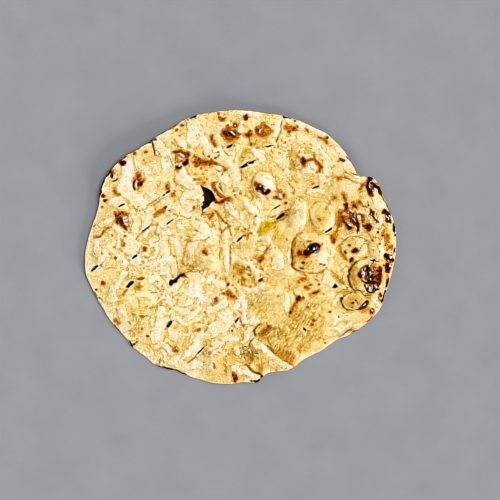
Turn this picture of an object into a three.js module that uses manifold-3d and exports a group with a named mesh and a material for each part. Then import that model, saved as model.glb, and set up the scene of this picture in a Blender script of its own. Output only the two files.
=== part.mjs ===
// A tandoori roti: one hand-slapped flatbread, baked on a hot clay wall. It lies flat, its blistered face up.
// Millimetres, +Z up. The origin is the middle of the bread's outline, on the surface that it lies on.

import * as THREE from "three";
import { mergeVertices } from "three/addons/utils/BufferGeometryUtils.js";
import Module from "manifold-3d";

const wasm = await Module();
wasm.setup();

// Driving sizes of the sheet.
const SHEET_THICKNESS = 3.0; // between the blisters
const RIM_THICKNESS = 1.5; // at the very edge
const RIM_BAND = 0.14; // share of the radius over which the sheet thins to its rim
const RIM_ROUNDING = 0.012; // share of the radius that the rounded edge takes
const RIM_CALM_BAND = 0.1; // share of the radius over which swellings and ridges fade
const RIM_CALM = 0.6; // how much of their height they lose at the very edge
const LIFT_START = 0.55; // share of the radius where the lifted stretches leave the table
const LIFT_CURVE = 1.5; // above 1 the rim curls up late
const SWELLING_CURVE = 1.5; // above 1 a swelling runs out softly at its foot
const RIDGE_CURVE = 2; // the same for a ridge

// Fineness of the faceted faces: rings of points from the middle outwards, and points added by each ring.
const TOP_RINGS = 30;
const UNDERSIDE_RINGS = 11;
const POINTS_PER_RING = 6;
const EDGE_SAMPLES = 2880; // points along the edge curve from which its radius is measured
const WELD = 1e-4; // points nearer to each other than this are one

const FULL_TURN = 360;
const HALF_TURN = 180;

// The edge seen from above, anticlockwise from the east: X, Y. The notch in the north-east is where the edge
// folded back as the bread was slapped on, and the two steps in the south are the ends of the pleat.
const EDGE = [
  [93, 7], [90.6, 18], [87, 26], [82.5, 37], [79, 41.2], [75, 41.8], [70, 43], [67.8, 47.4],
  [61.5, 58], [53, 67], [45, 71.4], [28.5, 78], [14, 80.4], [0, 82], [-24, 79.6],
  [-33, 76.3], [-51, 65.2], [-60, 59.2], [-68, 55], [-76, 48], [-81.6, 39.6], [-84, 33], [-84.3, 26],
  [-87, 17.2], [-91, 5.5], [-93, -6], [-92.6, -15], [-90, -22.2], [-77, -45],
  [-67, -56.2], [-65.5, -59.2], [-57, -65.5], [-52, -70], [-45, -73], [-38.5, -74], [-32.4, -76.8],
  [-17, -81.2], [-8, -82], [2, -80.8], [10.4, -80.8], [13.5, -77.4], [18, -75], [28, -73.8],
  [33, -71.6], [37, -68], [48.5, -62.2], [58.8, -55.2], [66, -52.4], [73.5, -47.5], [83, -38.2],
  [86.2, -30], [92.2, -8],
];

// Stretches of rim that curled up off the table: the bearing of the middle, half its spread, and its height.
const LIFTED_RIM = [
  { bearing: 27, spread: 15, high: 4.5 },
  { bearing: -5, spread: 22, high: 3.5 },
  { bearing: 145, spread: 26, high: 1.4 },
  { bearing: -84, spread: 13, high: 2.4 },
  { bearing: 205, spread: 18, high: 0.4 },
];

// Low waves that slapping leaves on the upper face: how far each runs along X and Y for one radian of its
// swing, and where in the swing it starts.
const RUMPLE = 0.22; // height of one wave
const RUMPLE_WAVES = [
  { alongX: 5.3, alongY: 9.1, start: 0 },
  { alongX: -8.2, alongY: 4.4, start: 0 },
  { alongX: 11.7, alongY: 11.7, start: 1.3 },
];

// Broad low swellings of the sheet: middle, half sizes, turn and height.
const SWELLINGS = [
  { x: 3, y: 70, long: 24, wide: 12, turn: 0, high: 1.8 },
  { x: -21, y: -9, long: 15, wide: 14, turn: 0, high: 1.6 },
  { x: 37, y: -49, long: 25, wide: 17, turn: 25, high: 1.8 },
  { x: 21, y: -29, long: 16, wide: 14, turn: 0, high: 1.4 },
  { x: -16, y: -66, long: 12, wide: 9, turn: 80, high: 1.8 },
  { x: 1, y: -74, long: 12, wide: 7, turn: 0, high: 1.6 },
  { x: -51, y: 42, long: 17, wide: 12, turn: 20, high: 1.2 },
  { x: 35, y: 19, long: 12, wide: 8, turn: 75, high: 1.4 },
  { x: 43, y: 48, long: 12, wide: 11, turn: 0, high: 2.4 },
  { x: -62, y: -22, long: 18, wide: 13, turn: 40, high: 1.0 },
];

// Ridges where the sheet buckled: the line along the crest, half the width and the height.
const RIDGES = [
  { crest: [[13, -59.5], [20, -66], [29, -72]], half: 4.5, high: 0.9 },
  { crest: [[-3, -73], [3, -74], [8, -77], [11, -79]], half: 4.5, high: 0.7 },
  { crest: [[-1, -24], [2.5, -33], [4, -45]], half: 3.2, high: 0.6 },
  { crest: [[-8, 10], [-7.8, 0], [-8, -16]], half: 3.0, high: 0.5 },
  { crest: [[-38, 49], [-33, 43], [-27, 38]], half: 4.0, high: 0.5 },
  { crest: [[3, 28], [8, 23], [11, 17], [11, 13]], half: 3.6, high: 0.5 },
  { crest: [[-25, -46], [-15, -41], [-5, -38]], half: 3.5, high: 0.4 },
  { crest: [[-32, -64], [-25, -58.5], [-17, -52]], half: 3.6, high: 0.4 },
  { crest: [[-14, 57], [-7, 51], [-2, 44], [1, 37]], half: 4.2, high: 0.4 },
];

// Blisters with a clear foot, blown up by steam: middle, half sizes, turn and height over the sheet.
const BLISTERS = [
  { x: 43.6, y: -3.4, long: 13.4, wide: 12.2, turn: 0, high: 3.2 },
  { x: 75.2, y: -17.3, long: 11, wide: 10.6, turn: 90, high: 3.2 },
  { x: 68.5, y: -32.4, long: 8.6, wide: 6.2, turn: 10, high: 2.4 },
  { x: 67.8, y: -1, long: 8.2, wide: 7.4, turn: 0, high: 2.0 },
  { x: 81.4, y: -0.8, long: 6.5, wide: 4.8, turn: 85, high: 1.2 },
  { x: 49.2, y: 17.6, long: 9.6, wide: 7.6, turn: -68, high: 2.4 },
  { x: 13.6, y: 37.4, long: 7.4, wide: 6.9, turn: 60, high: 2.6 },
];
const BLISTER_FOOT = 1.2; // how deep a blister's wall runs into the sheet
const BLISTER_SIDES = 20;
const BLISTER_STEPS = 5;
const BLISTER_FULLNESS = 0.7; // 0.5 is a half ellipse with an upright wall, 1 a shallow bowl turned over

// Slits pricked in rows so that steam can leave: middle, length, width and turn. They go right through.
const SLITS = [
  { x: -43.2, y: 33, length: 3.4, width: 1.3, turn: 30 },
  { x: -56.7, y: 10.8, length: 6, width: 1.6, turn: 40 },
  { x: -42.4, y: 15.3, length: 5.2, width: 1.3, turn: 36 },
  { x: -63.3, y: -5.8, length: 4.4, width: 1.3, turn: 36 },
  { x: -87.1, y: -13.1, length: 5.6, width: 1.6, turn: 45 },
  { x: -71.3, y: 25.6, length: 4.4, width: 1.2, turn: 24 },
  { x: -66.4, y: -22, length: 6, width: 2.2, turn: 46 },
  { x: -42.6, y: -46.2, length: 5, width: 2.2, turn: 50 },
  { x: -23.9, y: -61.7, length: 5.4, width: 1.3, turn: 42 },
  { x: -6.3, y: 60.4, length: 3.8, width: 1.9, turn: 25 },
  { x: 4.4, y: 50, length: 8.4, width: 1.8, turn: 25 },
  { x: 16.6, y: 60.5, length: 3, width: 1.2, turn: 12 },
  { x: -0.8, y: 4.2, length: 4.6, width: 1.9, turn: 42 },
  { x: -1.8, y: -43.7, length: 3.2, width: 1.3, turn: 48 },
  { x: 24.2, y: 18.3, length: 6.4, width: 1.7, turn: 33 },
  { x: 52.8, y: 10.1, length: 5.4, width: 1.7, turn: 35 },
  { x: 45.2, y: 36.3, length: 4.8, width: 1.2, turn: 22 },
  { x: 39.3, y: -48.3, length: 2.6, width: 1.5, turn: -38 },
];
const BLADE_STEPS = 4; // points along each side of a slit

// Tears in the upper skin, as jagged outlines, and how much of the sheet is left below them.
const TEARS = [
  [
    [-23.7, 37.5], [-22.2, 34.4], [-21.9, 32.4], [-22.8, 31], [-21.2, 29.6], [-22.2, 27.6], [-21.8, 25.6],
    [-23.2, 24.8], [-22.6, 21.8], [-20.2, 23.4], [-18.4, 24], [-17.8, 26], [-15.4, 27.6], [-15.2, 29.8],
    [-16.4, 32.6], [-18.6, 34.7], [-20.8, 35.2],
  ],
  [[55, -24.3], [57, -24.7], [59, -24], [58.2, -23], [57.4, -21.9], [56.4, -22], [56, -23.2]],
  [
    [-42.8, -22.9], [-42.6, -20.6], [-41.6, -19.2], [-40.2, -19.8], [-38, -18.1], [-35.8, -16],
    [-33.6, -15.6], [-33.2, -17.4], [-35.8, -18], [-37.4, -19.6], [-37.8, -21.6], [-39.8, -21.6],
    [-40.8, -23.4],
  ],
];
const TEAR_FLOOR = 0.8;
const CUTTER_HEIGHT = 4 * SHEET_THICKNESS; // clears the highest place that is cut

const edgeCurve = new THREE.CatmullRomCurve3(
  EDGE.map(([x, y]) => new THREE.Vector3(x, y, 0)),
  true,
  "centripetal",
);

// A smooth step from 0 at low to 1 at high.
const smoothstep = (low, high, value) => THREE.MathUtils.smoothstep(value, low, high);

const bearingOf = (x, y) => THREE.MathUtils.radToDeg(Math.atan2(y, x));

// The distance from the middle to the edge, at each whole degree of bearing.
function measureEdge() {
  const samples = edgeCurve.getPoints(EDGE_SAMPLES);
  const radii = new Array(FULL_TURN).fill(0);
  for (const point of samples) {
    const degree = Math.round(bearingOf(point.x, point.y) + FULL_TURN) % FULL_TURN;
    radii[degree] = Math.max(radii[degree], point.length());
  }
  return radii;
}

const edgeRadii = measureEdge();

function edgeRadius(bearing) {
  const turned = (bearing + FULL_TURN) % FULL_TURN;
  const low = Math.floor(turned);
  return THREE.MathUtils.lerp(edgeRadii[low], edgeRadii[(low + 1) % FULL_TURN], turned - low);
}

// How far out a place lies: 0 in the middle, 1 on the edge.
const shareOut = (x, y) => Math.min(1, Math.hypot(x, y) / edgeRadius(bearingOf(x, y)));

// The distance from a feature's middle as a share of its half size: 1 on its foot.
function reach({ x: middleX, y: middleY, long, wide, turn }, x, y) {
  const angle = THREE.MathUtils.degToRad(turn);
  const along = (x - middleX) * Math.cos(angle) + (y - middleY) * Math.sin(angle);
  const across = (y - middleY) * Math.cos(angle) - (x - middleX) * Math.sin(angle);
  return Math.hypot(along / long, across / wide);
}

// The shortest distance from a place to a line of points.
function distanceToLine(line, x, y) {
  const place = new THREE.Vector3(x, y, 0);
  const nearest = new THREE.Vector3();
  const distances = line.slice(1).map(([endX, endY], index) => {
    const [startX, startY] = line[index];
    const stretch = new THREE.Line3(new THREE.Vector3(startX, startY, 0), new THREE.Vector3(endX, endY, 0));
    return stretch.closestPointToPoint(place, true, nearest).distanceTo(place);
  });
  return Math.min(...distances);
}

// How far the curled rim stands off the table.
function liftAt(x, y) {
  const rise = smoothstep(LIFT_START, 1, shareOut(x, y)) ** LIFT_CURVE;
  const bearing = bearingOf(x, y);
  return LIFTED_RIM.reduce((sum, stretch) => {
    const turned = bearing - stretch.bearing + FULL_TURN + HALF_TURN;
    const apart = Math.abs((turned % FULL_TURN) - HALF_TURN) / stretch.spread;
    return sum + rise * stretch.high * Math.exp(-apart * apart);
  }, 0);
}

function thicknessAt(x, y) {
  return THREE.MathUtils.lerp(SHEET_THICKNESS, RIM_THICKNESS, smoothstep(1 - RIM_BAND, 1, shareOut(x, y)));
}

// Low waves over the whole upper face, calmer at the rim.
function rumpleAt(x, y) {
  const waves = RUMPLE_WAVES.reduce(
    (sum, { alongX, alongY, start }) => sum + Math.sin(x / alongX + y / alongY + start),
    0,
  );
  return RUMPLE * waves * (1 - smoothstep(1 - RIM_BAND, 1, shareOut(x, y)));
}

const undersideAt = (x, y) => liftAt(x, y);

function topAt(x, y) {
  const rimFade = 1 - smoothstep(1 - RIM_CALM_BAND, 1, shareOut(x, y)) * RIM_CALM;
  const swollen = SWELLINGS.reduce((sum, swelling) => {
    const away = reach(swelling, x, y);
    return sum + (away < 1 ? swelling.high * (1 - away * away) ** SWELLING_CURVE : 0);
  }, 0);
  const buckled = RIDGES.reduce((sum, ridge) => {
    const away = distanceToLine(ridge.crest, x, y) / ridge.half;
    return sum + (away < 1 ? ridge.high * (1 - away * away) ** RIDGE_CURVE : 0);
  }, 0);
  return liftAt(x, y) + thicknessAt(x, y) + rumpleAt(x, y) + (swollen + buckled) * rimFade;
}

// A closed loop of points on one face, at a share of the way out to the edge.
function loopOf(share, count, heightAt) {
  return Array.from({ length: count }, (_, index) => {
    const { x, y } = edgeCurve.getPointAt(index / count).multiplyScalar(share);
    return [x, y, heightAt(x, y)];
  });
}

// Rings from the middle of the upper face, over the rounded edge and back to the middle of the underside.
function sheetLoops() {
  const inset = 1 - RIM_ROUNDING;
  const rimCount = TOP_RINGS * POINTS_PER_RING;
  const rings = (count) => Array.from({ length: count }, (_, index) => index + 1);
  const top = rings(TOP_RINGS).map((ring) =>
    loopOf((inset * ring) / TOP_RINGS, ring * POINTS_PER_RING, topAt),
  );
  const rim = loopOf(1, rimCount, (x, y) => (topAt(x, y) + undersideAt(x, y)) / 2);
  const lowerRim = loopOf(inset, rimCount, undersideAt);
  const underside = rings(UNDERSIDE_RINGS - 1)
    .reverse()
    .map((ring) => loopOf((inset * ring) / UNDERSIDE_RINGS, ring * POINTS_PER_RING, undersideAt));
  return [...top, rim, lowerRim, ...underside];
}

// The sheet as one closed surface: a fan at each middle, and a band of triangles between each two loops.
function sheetGeometry() {
  const loops = sheetLoops();
  const points = [[0, 0, topAt(0, 0)], ...loops.flat(), [0, 0, undersideAt(0, 0)]];
  const starts = loops.map((_, index) => 1 + loops.slice(0, index).flat().length);
  const at = (loop, index) => starts[loop] + (index % loops[loop].length);
  const triangles = [];
  loops[0].forEach((_, index) => triangles.push(0, at(0, index), at(0, index + 1)));
  for (let loop = 0; loop + 1 < loops.length; loop++) {
    const [inner, outer] = [loops[loop].length, loops[loop + 1].length];
    let [i, j] = [0, 0];
    while (i < inner || j < outer) {
      const stepOuter = i === inner || (j < outer && (j + 1) / outer <= (i + 1) / inner);
      if (stepOuter) triangles.push(at(loop, i), at(loop + 1, j), at(loop + 1, ++j));
      else triangles.push(at(loop, i), at(loop + 1, j), at(loop, ++i));
    }
  }
  const last = loops.length - 1;
  loops[last].forEach((_, index) => triangles.push(points.length - 1, at(last, index + 1), at(last, index)));
  return new THREE.BufferGeometry()
    .setAttribute("position", new THREE.Float32BufferAttribute(points.flat(), 3))
    .setIndex(triangles);
}

// A blown-up blister: a turned dome on a short foot that is buried in the sheet.
function blisterGeometry({ x, y, long, wide, turn, high }) {
  const profile = [new THREE.Vector2(0, -BLISTER_FOOT), new THREE.Vector2(1, -BLISTER_FOOT)];
  for (let step = 0; step <= BLISTER_STEPS; step++) {
    const out = Math.cos((step / BLISTER_STEPS) * (Math.PI / 2));
    const onAxis = step === BLISTER_STEPS;
    profile.push(new THREE.Vector2(onAxis ? 0 : out, high * (1 - out * out) ** BLISTER_FULLNESS));
  }
  return new THREE.LatheGeometry(profile, BLISTER_SIDES)
    .rotateX(Math.PI / 2)
    .scale(long, wide, 1)
    .rotateZ(THREE.MathUtils.degToRad(turn))
    .translate(x, y, topAt(x, y));
}

// A slit through the sheet: a lens-shaped blade.
function slitGeometry({ x, y, length, width, turn }) {
  const blade = new THREE.Shape()
    .moveTo(-length / 2, 0)
    .quadraticCurveTo(0, -width, length / 2, 0)
    .quadraticCurveTo(0, width, -length / 2, 0);
  const cut = { depth: CUTTER_HEIGHT, bevelEnabled: false, curveSegments: BLADE_STEPS };
  return new THREE.ExtrudeGeometry(blade, cut)
    .rotateZ(THREE.MathUtils.degToRad(turn))
    .translate(x, y, -SHEET_THICKNESS);
}

// The space of a tear in the upper skin, open above.
function tearGeometry(outline) {
  const shape = new THREE.Shape(outline.map(([x, y]) => new THREE.Vector2(x, y)));
  const [x, y] = outline[0];
  const floor = undersideAt(x, y) + TEAR_FLOOR;
  const cut = { depth: CUTTER_HEIGHT, bevelEnabled: false };
  return new THREE.ExtrudeGeometry(shape, cut).translate(0, 0, floor);
}

// A closed geometry as a solid that can be joined and cut.
function solidOf(geometry) {
  const bare = geometry.clone();
  bare.deleteAttribute("normal");
  bare.deleteAttribute("uv");
  const merged = mergeVertices(bare, WELD);
  const vertProperties = new Float32Array(merged.attributes.position.array);
  const triVerts = new Uint32Array(merged.index.array);
  return new wasm.Manifold(new wasm.Mesh({ numProp: 3, vertProperties, triVerts }));
}

function geometryOf(solid) {
  const { vertProperties, triVerts } = solid.getMesh();
  const geometry = new THREE.BufferGeometry()
    .setAttribute("position", new THREE.BufferAttribute(vertProperties, 3))
    .setIndex(new THREE.BufferAttribute(triVerts, 1));
  geometry.computeVertexNormals();
  return geometry;
}

function rotiGeometry() {
  let bread = solidOf(sheetGeometry());
  for (const blister of BLISTERS) bread = bread.add(solidOf(blisterGeometry(blister)));
  for (const slit of SLITS) bread = bread.subtract(solidOf(slitGeometry(slit)));
  for (const tear of TEARS) bread = bread.subtract(solidOf(tearGeometry(tear)));
  return geometryOf(bread);
}

const bakedDough = new THREE.MeshStandardMaterial({ color: 0xecc989, roughness: 0.75, metalness: 0 });

const roti = new THREE.Mesh(rotiGeometry(), bakedDough);
roti.name = "roti";

const bread = new THREE.Group();
bread.add(roti);

export default bread;
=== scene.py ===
"""A tandoori roti: one hand-slapped flatbread, blistered and scorched, that lies flat with its baked face up.

Metres, +Z up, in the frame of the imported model. The tables give places and sizes in millimetres, seen
from above.
"""
import math

import bmesh
import bpy
import numpy as np
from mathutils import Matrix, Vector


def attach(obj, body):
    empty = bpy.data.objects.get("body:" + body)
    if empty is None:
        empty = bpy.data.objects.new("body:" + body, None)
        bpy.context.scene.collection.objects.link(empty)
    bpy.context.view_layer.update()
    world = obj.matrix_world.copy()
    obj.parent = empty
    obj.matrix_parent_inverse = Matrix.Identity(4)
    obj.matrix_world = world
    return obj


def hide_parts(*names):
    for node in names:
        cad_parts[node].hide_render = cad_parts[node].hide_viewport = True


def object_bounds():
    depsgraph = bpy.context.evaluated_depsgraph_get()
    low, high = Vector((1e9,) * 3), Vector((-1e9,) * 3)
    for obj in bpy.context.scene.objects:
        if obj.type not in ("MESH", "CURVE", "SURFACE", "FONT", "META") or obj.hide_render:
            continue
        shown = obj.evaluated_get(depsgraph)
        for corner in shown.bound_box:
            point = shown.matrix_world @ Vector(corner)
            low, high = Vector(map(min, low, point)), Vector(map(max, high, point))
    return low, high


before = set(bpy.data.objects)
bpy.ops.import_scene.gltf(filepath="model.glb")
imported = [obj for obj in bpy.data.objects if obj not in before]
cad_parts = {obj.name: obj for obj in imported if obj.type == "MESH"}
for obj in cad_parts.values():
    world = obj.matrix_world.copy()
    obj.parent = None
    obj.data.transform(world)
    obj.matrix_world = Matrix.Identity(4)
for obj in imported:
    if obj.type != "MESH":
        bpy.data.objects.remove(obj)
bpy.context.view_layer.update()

MM = 0.001

# The sheet of dough.
SHEET_THICKNESS = 3.0
RIM_THICKNESS = 1.5
RIM_BAND = 12.0  # how far in from the edge the sheet thins to its rim
RIM_BULGE = 0.4  # how far the rounded edge stands out
RAGGED = 0.22  # small unevenness of the edge
POINTS_ROUND_EDGE = 1160
ON_EDGE = 0.05  # a point nearer to the edge than this is on it
HOLD = 0.55  # half the width of the strip of points that a pull takes hold of

# The edge seen from above, anticlockwise from the east. The notch in the north-east is where the edge folded
# back as the bread was slapped on, and the two steps in the south are the ends of the pleat.
EDGE = [
    (93, 7), (90.6, 18), (87, 26), (82.5, 37), (79, 41.2), (75, 41.8), (70, 43), (67.8, 47.4), (61.5, 58),
    (53, 67), (45, 71.4), (28.5, 78), (14, 80.4), (0, 82), (-24, 79.6), (-33, 76.3), (-51, 65.2),
    (-60, 59.2), (-68, 55), (-76, 48), (-81.6, 39.6), (-84, 33), (-84.3, 26), (-87, 17.2), (-91, 5.5),
    (-93, -6), (-92.6, -15), (-90, -22.2), (-77, -45), (-67, -56.2), (-65.5, -59.2), (-57, -65.5),
    (-52, -70), (-45, -73), (-38.5, -74), (-32.4, -76.8), (-17, -81.2), (-8, -82), (2, -80.8),
    (10.4, -80.8), (13.5, -77.4), (18, -75), (28, -73.8), (33, -71.6), (37, -68), (48.5, -62.2),
    (58.8, -55.2), (66, -52.4), (73.5, -47.5), (83, -38.2), (86.2, -30), (92.2, -8),
]

# Stretches of rim that curled up off the table: bearing in degrees, half its spread, and its height.
LIFTED_RIM = [(27, 15, 4.5), (-5, 22, 3.5), (145, 26, 1.4), (-84, 13, 2.4), (205, 18, 0.4)]
LIFT_REACH = 32.0  # how far in from the edge a lift reaches

# Broad low swellings of the sheet: middle, half sizes, turn and height.
SWELLINGS = [
    (3, 70, 24, 12, 0, 1.8), (-21, -9, 15, 14, 0, 1.6), (37, -49, 25, 17, 25, 1.8),
    (21, -29, 16, 14, 0, 1.4), (-16, -66, 12, 9, 80, 1.8), (1, -74, 12, 7, 0, 1.6),
    (-51, 42, 17, 12, 20, 1.2), (35, 19, 12, 8, 75, 1.4), (43, 48, 12, 11, 0, 2.4),
    (-62, -22, 18, 13, 40, 1), (-83, 2, 12, 8, 80, 0.8), (9, 54, 13, 9, 15, 1.1),
]

# Ridges where the sheet buckled: half the width, the height, and the line along the crest.
RIDGES = [
    (4.5, 0.84, (13, -59.5), (20, -66), (29, -72)), (4.5, 0.71, (-3, -73), (3, -74), (8, -77), (11, -79)),
    (3, 0.56, (-1, -24), (2.5, -33), (4, -45)), (2.6, 0.47, (-8, 10), (-7.8, 0), (-8, -16)),
    (4, 0.47, (-38, 49), (-33, 43), (-27, 38)), (3.4, 0.52, (3, 28), (8, 23), (11, 17), (11, 13)),
    (3.5, 0.37, (-25, -46), (-15, -41), (-5, -38)), (1.4, 0.28, (-33, -45), (-28, -41.4), (-23, -37.5)),
    (3.6, 0.37, (-32, -64), (-25, -58.5), (-17, -52)), (4.2, 0.42, (-14, 57), (-7, 51), (-2, 44), (1, 37)),
    (2.6, 0.47, (5, -10), (8.4, -14), (10.8, -19)),
    (2.8, 0.37, (-72, 32.5), (-64, 31), (-60, 28), (-58, 24)), (3, 0.28, (-72, 9), (-68, 6), (-66, 0)),
    (2.2, 0.37, (-28, 11), (-22, 9), (-16, 6)), (3.4, 0.32, (20, -2), (23, -6), (25, -10)),
    (2.8, 0.37, (-46, 4), (-44, -3), (-41, -9), (-38.6, -15)),
    (4, 0.37, (-29, -17), (-27, -23), (-25, -30)), (3, 0.28, (-74, -22), (-76.5, -27), (-76, -33)),
    (3, 0.32, (-71, -38), (-70, -44), (-68, -50)), (3, 0.32, (-48, -40), (-49.5, -46), (-50, -54)),
    (2, 0.32, (-51, -59.5), (-46.5, -57.5), (-42.5, -62.5)), (3, 0.37, (-12, -57), (-8, -55), (-3, -55.5)),
    (3.4, 0.37, (-20, -37), (-13, -36), (-7, -33.6)), (3.2, 0.37, (22, 76), (22.4, 70), (20.6, 64)),
    (3.2, 0.37, (50, 56), (53.4, 51), (51.6, 44)), (1.6, 0.56, (66, 44.5), (70, 42), (76.6, 41)),
    (3, 0.32, (81, 33), (83, 28), (86.4, 23)), (3, 0.32, (-23, 67), (-19, 61), (-13, 58)),
    (3.4, 0.37, (-19, -18), (-14, -21), (-10, -24)),
]

# Blisters blown up by steam: middle, half sizes, turn and height over the sheet.
BLISTERS = [
    (43.6, -3.4, 13.4, 12.2, 0, 2.9), (75.2, -17.3, 11, 10.6, 90, 2.2), (68.5, -32.4, 8.6, 6.2, 10, 2.1),
    (67.8, -1, 8.2, 7.4, 0, 1.5), (81.4, -0.8, 6.5, 4.8, 85, 0.9), (49.2, 17.6, 9.6, 7.6, -68, 2.4),
    (35.2, 19.2, 8.8, 5.6, 85, 0.9), (13.6, 37.4, 7.4, 6.9, 60, 2.6), (89, -12.4, 3, 2, 85, 1.2),
    (89.6, -6.6, 2.6, 2.2, -40, 1.2), (-38.4, -61.4, 3.2, 2.8, 0, 0.9), (-56.6, -1.2, 4.6, 4, 30, 0.9),
    (-49.6, 55.8, 1.9, 1.7, 0, 0.6), (71, 18, 2.2, 2, 0, 0.9), (76.6, 12.2, 3, 2.3, 0, 0.9),
    (10.6, -33, 12, 13, 20, 0.8), (-21.4, -5, 13, 12, 0, 1), (46, -25, 14, 8, 12, 0.7),
    (3, 76, 6, 4, 0, 0.5),
]
BOXINESS = 2.5  # 2 would make every blister round
FULLNESS = 0.62  # less gives steeper sides and a flatter top

# Hollows where a blister burst or sank: half the width, the depth, and the line along the bottom.
HOLLOWS = [
    (3.4, 0.9, (-36.3, 53.2), (-35.6, 52.6)), (3.4, 0.9, (-69, 16.5), (-69.5, 14.5)),
    (2.4, 0.7, (-62, 39), (-62, 36.5)), (3.4, 0.9, (-7, 68), (-4, 68)),
    (2.8, 0.7, (11.5, 69), (13.5, 69.5)), (5.6, 1.8, (77, -13), (78.5, -18), (78.5, -23)),
    (3.6, 1, (42, -1.6), (45, -1.2)), (1.7, 0.7, (63.5, 24), (66.5, 20), (69.5, 15.5)),
    (1.7, 0.6, (61.5, 18), (64, 13.5)), (2.2, 0.6, (24, 31.5), (24.6, 30.5)),
    (2, 0.7, (12, 36), (14.5, 33.3)), (2.2, 0.8, (77, 37), (79.5, 36)), (2.2, 0.7, (78, 20), (81, 16.5)),
    (5, 0.8, (-1, -12), (1, -19)), (3.5, 0.8, (13, -52), (19, -49)), (5, 0.9, (25, -62), (31, -67)),
    (4.6, 0.9, (7, -66), (13.5, -72.5)), (3, 0.7, (17, 12), (12.6, 10)), (4, 0.5, (30, 55), (31, 48)),
    (2.6, 0.6, (58.5, 22), (58.6, 8)), (3, 0.6, (3, 58), (1, 52)), (3.4, 0.5, (56, -18), (62, -21)),
]

# Creases and cracks: half the width, the depth, and the line along the bottom.
CREASES = [
    (1.1, 1.4, (14, -58), (18, -61), (22, -65), (26, -68), (30, -70.5), (33, -71.8)),
    (1.1, 1.4, (3, -70.4), (6, -72.5), (9, -75), (12.5, -76.7)),
    (0.9, 1, (11.5, -46.5), (8, -50), (9.2, -53), (6.3, -57), (5.7, -59.5), (7.2, -63), (7, -69)),
    (0.9, 0.8, (25.2, 75), (24.4, 72), (24.6, 69), (22.6, 65.4), (21.6, 63), (22.4, 60)),
    (0.8, 0.9, (-52.8, 63), (-52.2, 59.5), (-51, 56.5)),
    (0.8, 0.9, (-15, 22), (-13, 19), (-10, 15.5), (-6.5, 12.5)),
    (0.8, 0.8, (-6.5, 12.5), (-10, 9.5), (-13, 7)), (0.8, 0.6, (-4, 2.4), (-6, 0.4), (-6, -5), (-5.8, -12)),
    (0.9, 0.6, (-12.5, 6), (-12, 0), (-12, -9)),
    (0.8, 0.7, (-18, 6), (-22, 3.4), (-26, 4), (-28, 2.6), (-31, 4)),
    (1, 0.6, (-31, 4), (-34, -4), (-34.6, -10)),
    (0.8, 0.7, (-34, -17), (-30, -14.6), (-25, -15.2), (-22, -14)),
    (1, 0.8, (36, 8.6), (31.6, 3.5), (30.6, -1), (30.8, -7), (32, -12), (34.4, -14.6), (38, -15.5),
        (49, -15.4)),
    (1, 0.9, (76, -6.2), (72, -7.5), (67.5, -10.5), (66, -14), (64.8, -19), (65.5, -22.5), (69, -26.6)),
    (0.9, 0.7, (67, -26.8), (63, -28.6), (60.4, -31.5), (61.6, -36), (64, -38), (68, -38.4), (71.3, -37.4)),
    (1, 0.7, (66, 6.6), (62, 3.6), (59.8, 1), (59.8, -2.5), (62, -6.5), (66, -8.6)),
    (0.9, 0.8, (62, 42.4), (65, 40.6), (68, 38.8), (71.5, 38.1), (75.5, 38.4)),
    (0.8, 0.9, (-4.5, -50), (-3.4, -47), (-0.7, -42.8), (2, -47.5)),
    (0.9, 0.8, (11, -53), (15, -50.4), (18, -47.4)), (0.7, 0.5, (-54, 25.6), (-50, 28.6), (-47, 30.6)),
    (0.7, 0.5, (-52, 25.2), (-48, 27.6), (-44.5, 30.4)), (0.7, 0.5, (-63, 5), (-59.5, 8.6)),
    (0.8, 0.6, (-31, -69.4), (-27.5, -66.6), (-25.6, -63.4)),
    (0.8, 0.6, (57.4, 24), (57.4, 18), (57, 13.6)), (0.8, 0.5, (44.5, 26), (41.5, 22), (42, 16), (45, 11)),
    (0.8, 0.6, (16.5, -55), (18.5, -59), (19, -62)), (0.7, 0.5, (22, -50), (23.5, -56), (24, -61)),
    (0.7, 0.5, (27, -52), (27.5, -58), (29, -64)), (0.7, 0.5, (2, -61), (3, -66), (6, -71)),
    (0.7, 0.5, (12, -60), (12.5, -66), (13, -71)), (0.8, 0.5, (-21, 69), (-20, 65), (-17, 61), (-13, 59.6)),
    (0.9, 0.5, (7.4, 43), (6.6, 38), (7.6, 33), (10.6, 30.4)),
    (0.8, 0.5, (-9.4, -76), (-8.4, -72), (-4, -70.4), (3, -70.4)),
    (0.8, 0.4, (-61, -2), (-58.6, 1.6), (-55, 2.4), (-52.6, 0), (-53, -3)),
    (0.8, 0.4, (-24, -38), (-20, -34.6), (-14, -33.6)), (0.7, 0.5, (5, 8), (9, 6.4), (14, 6)),
    (0.8, 0.25, (77, 4), (76.6, -2), (78, -6)), (0.7, 0.4, (-13, -58.6), (-7, -59), (-3, -62.6)),
]

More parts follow.
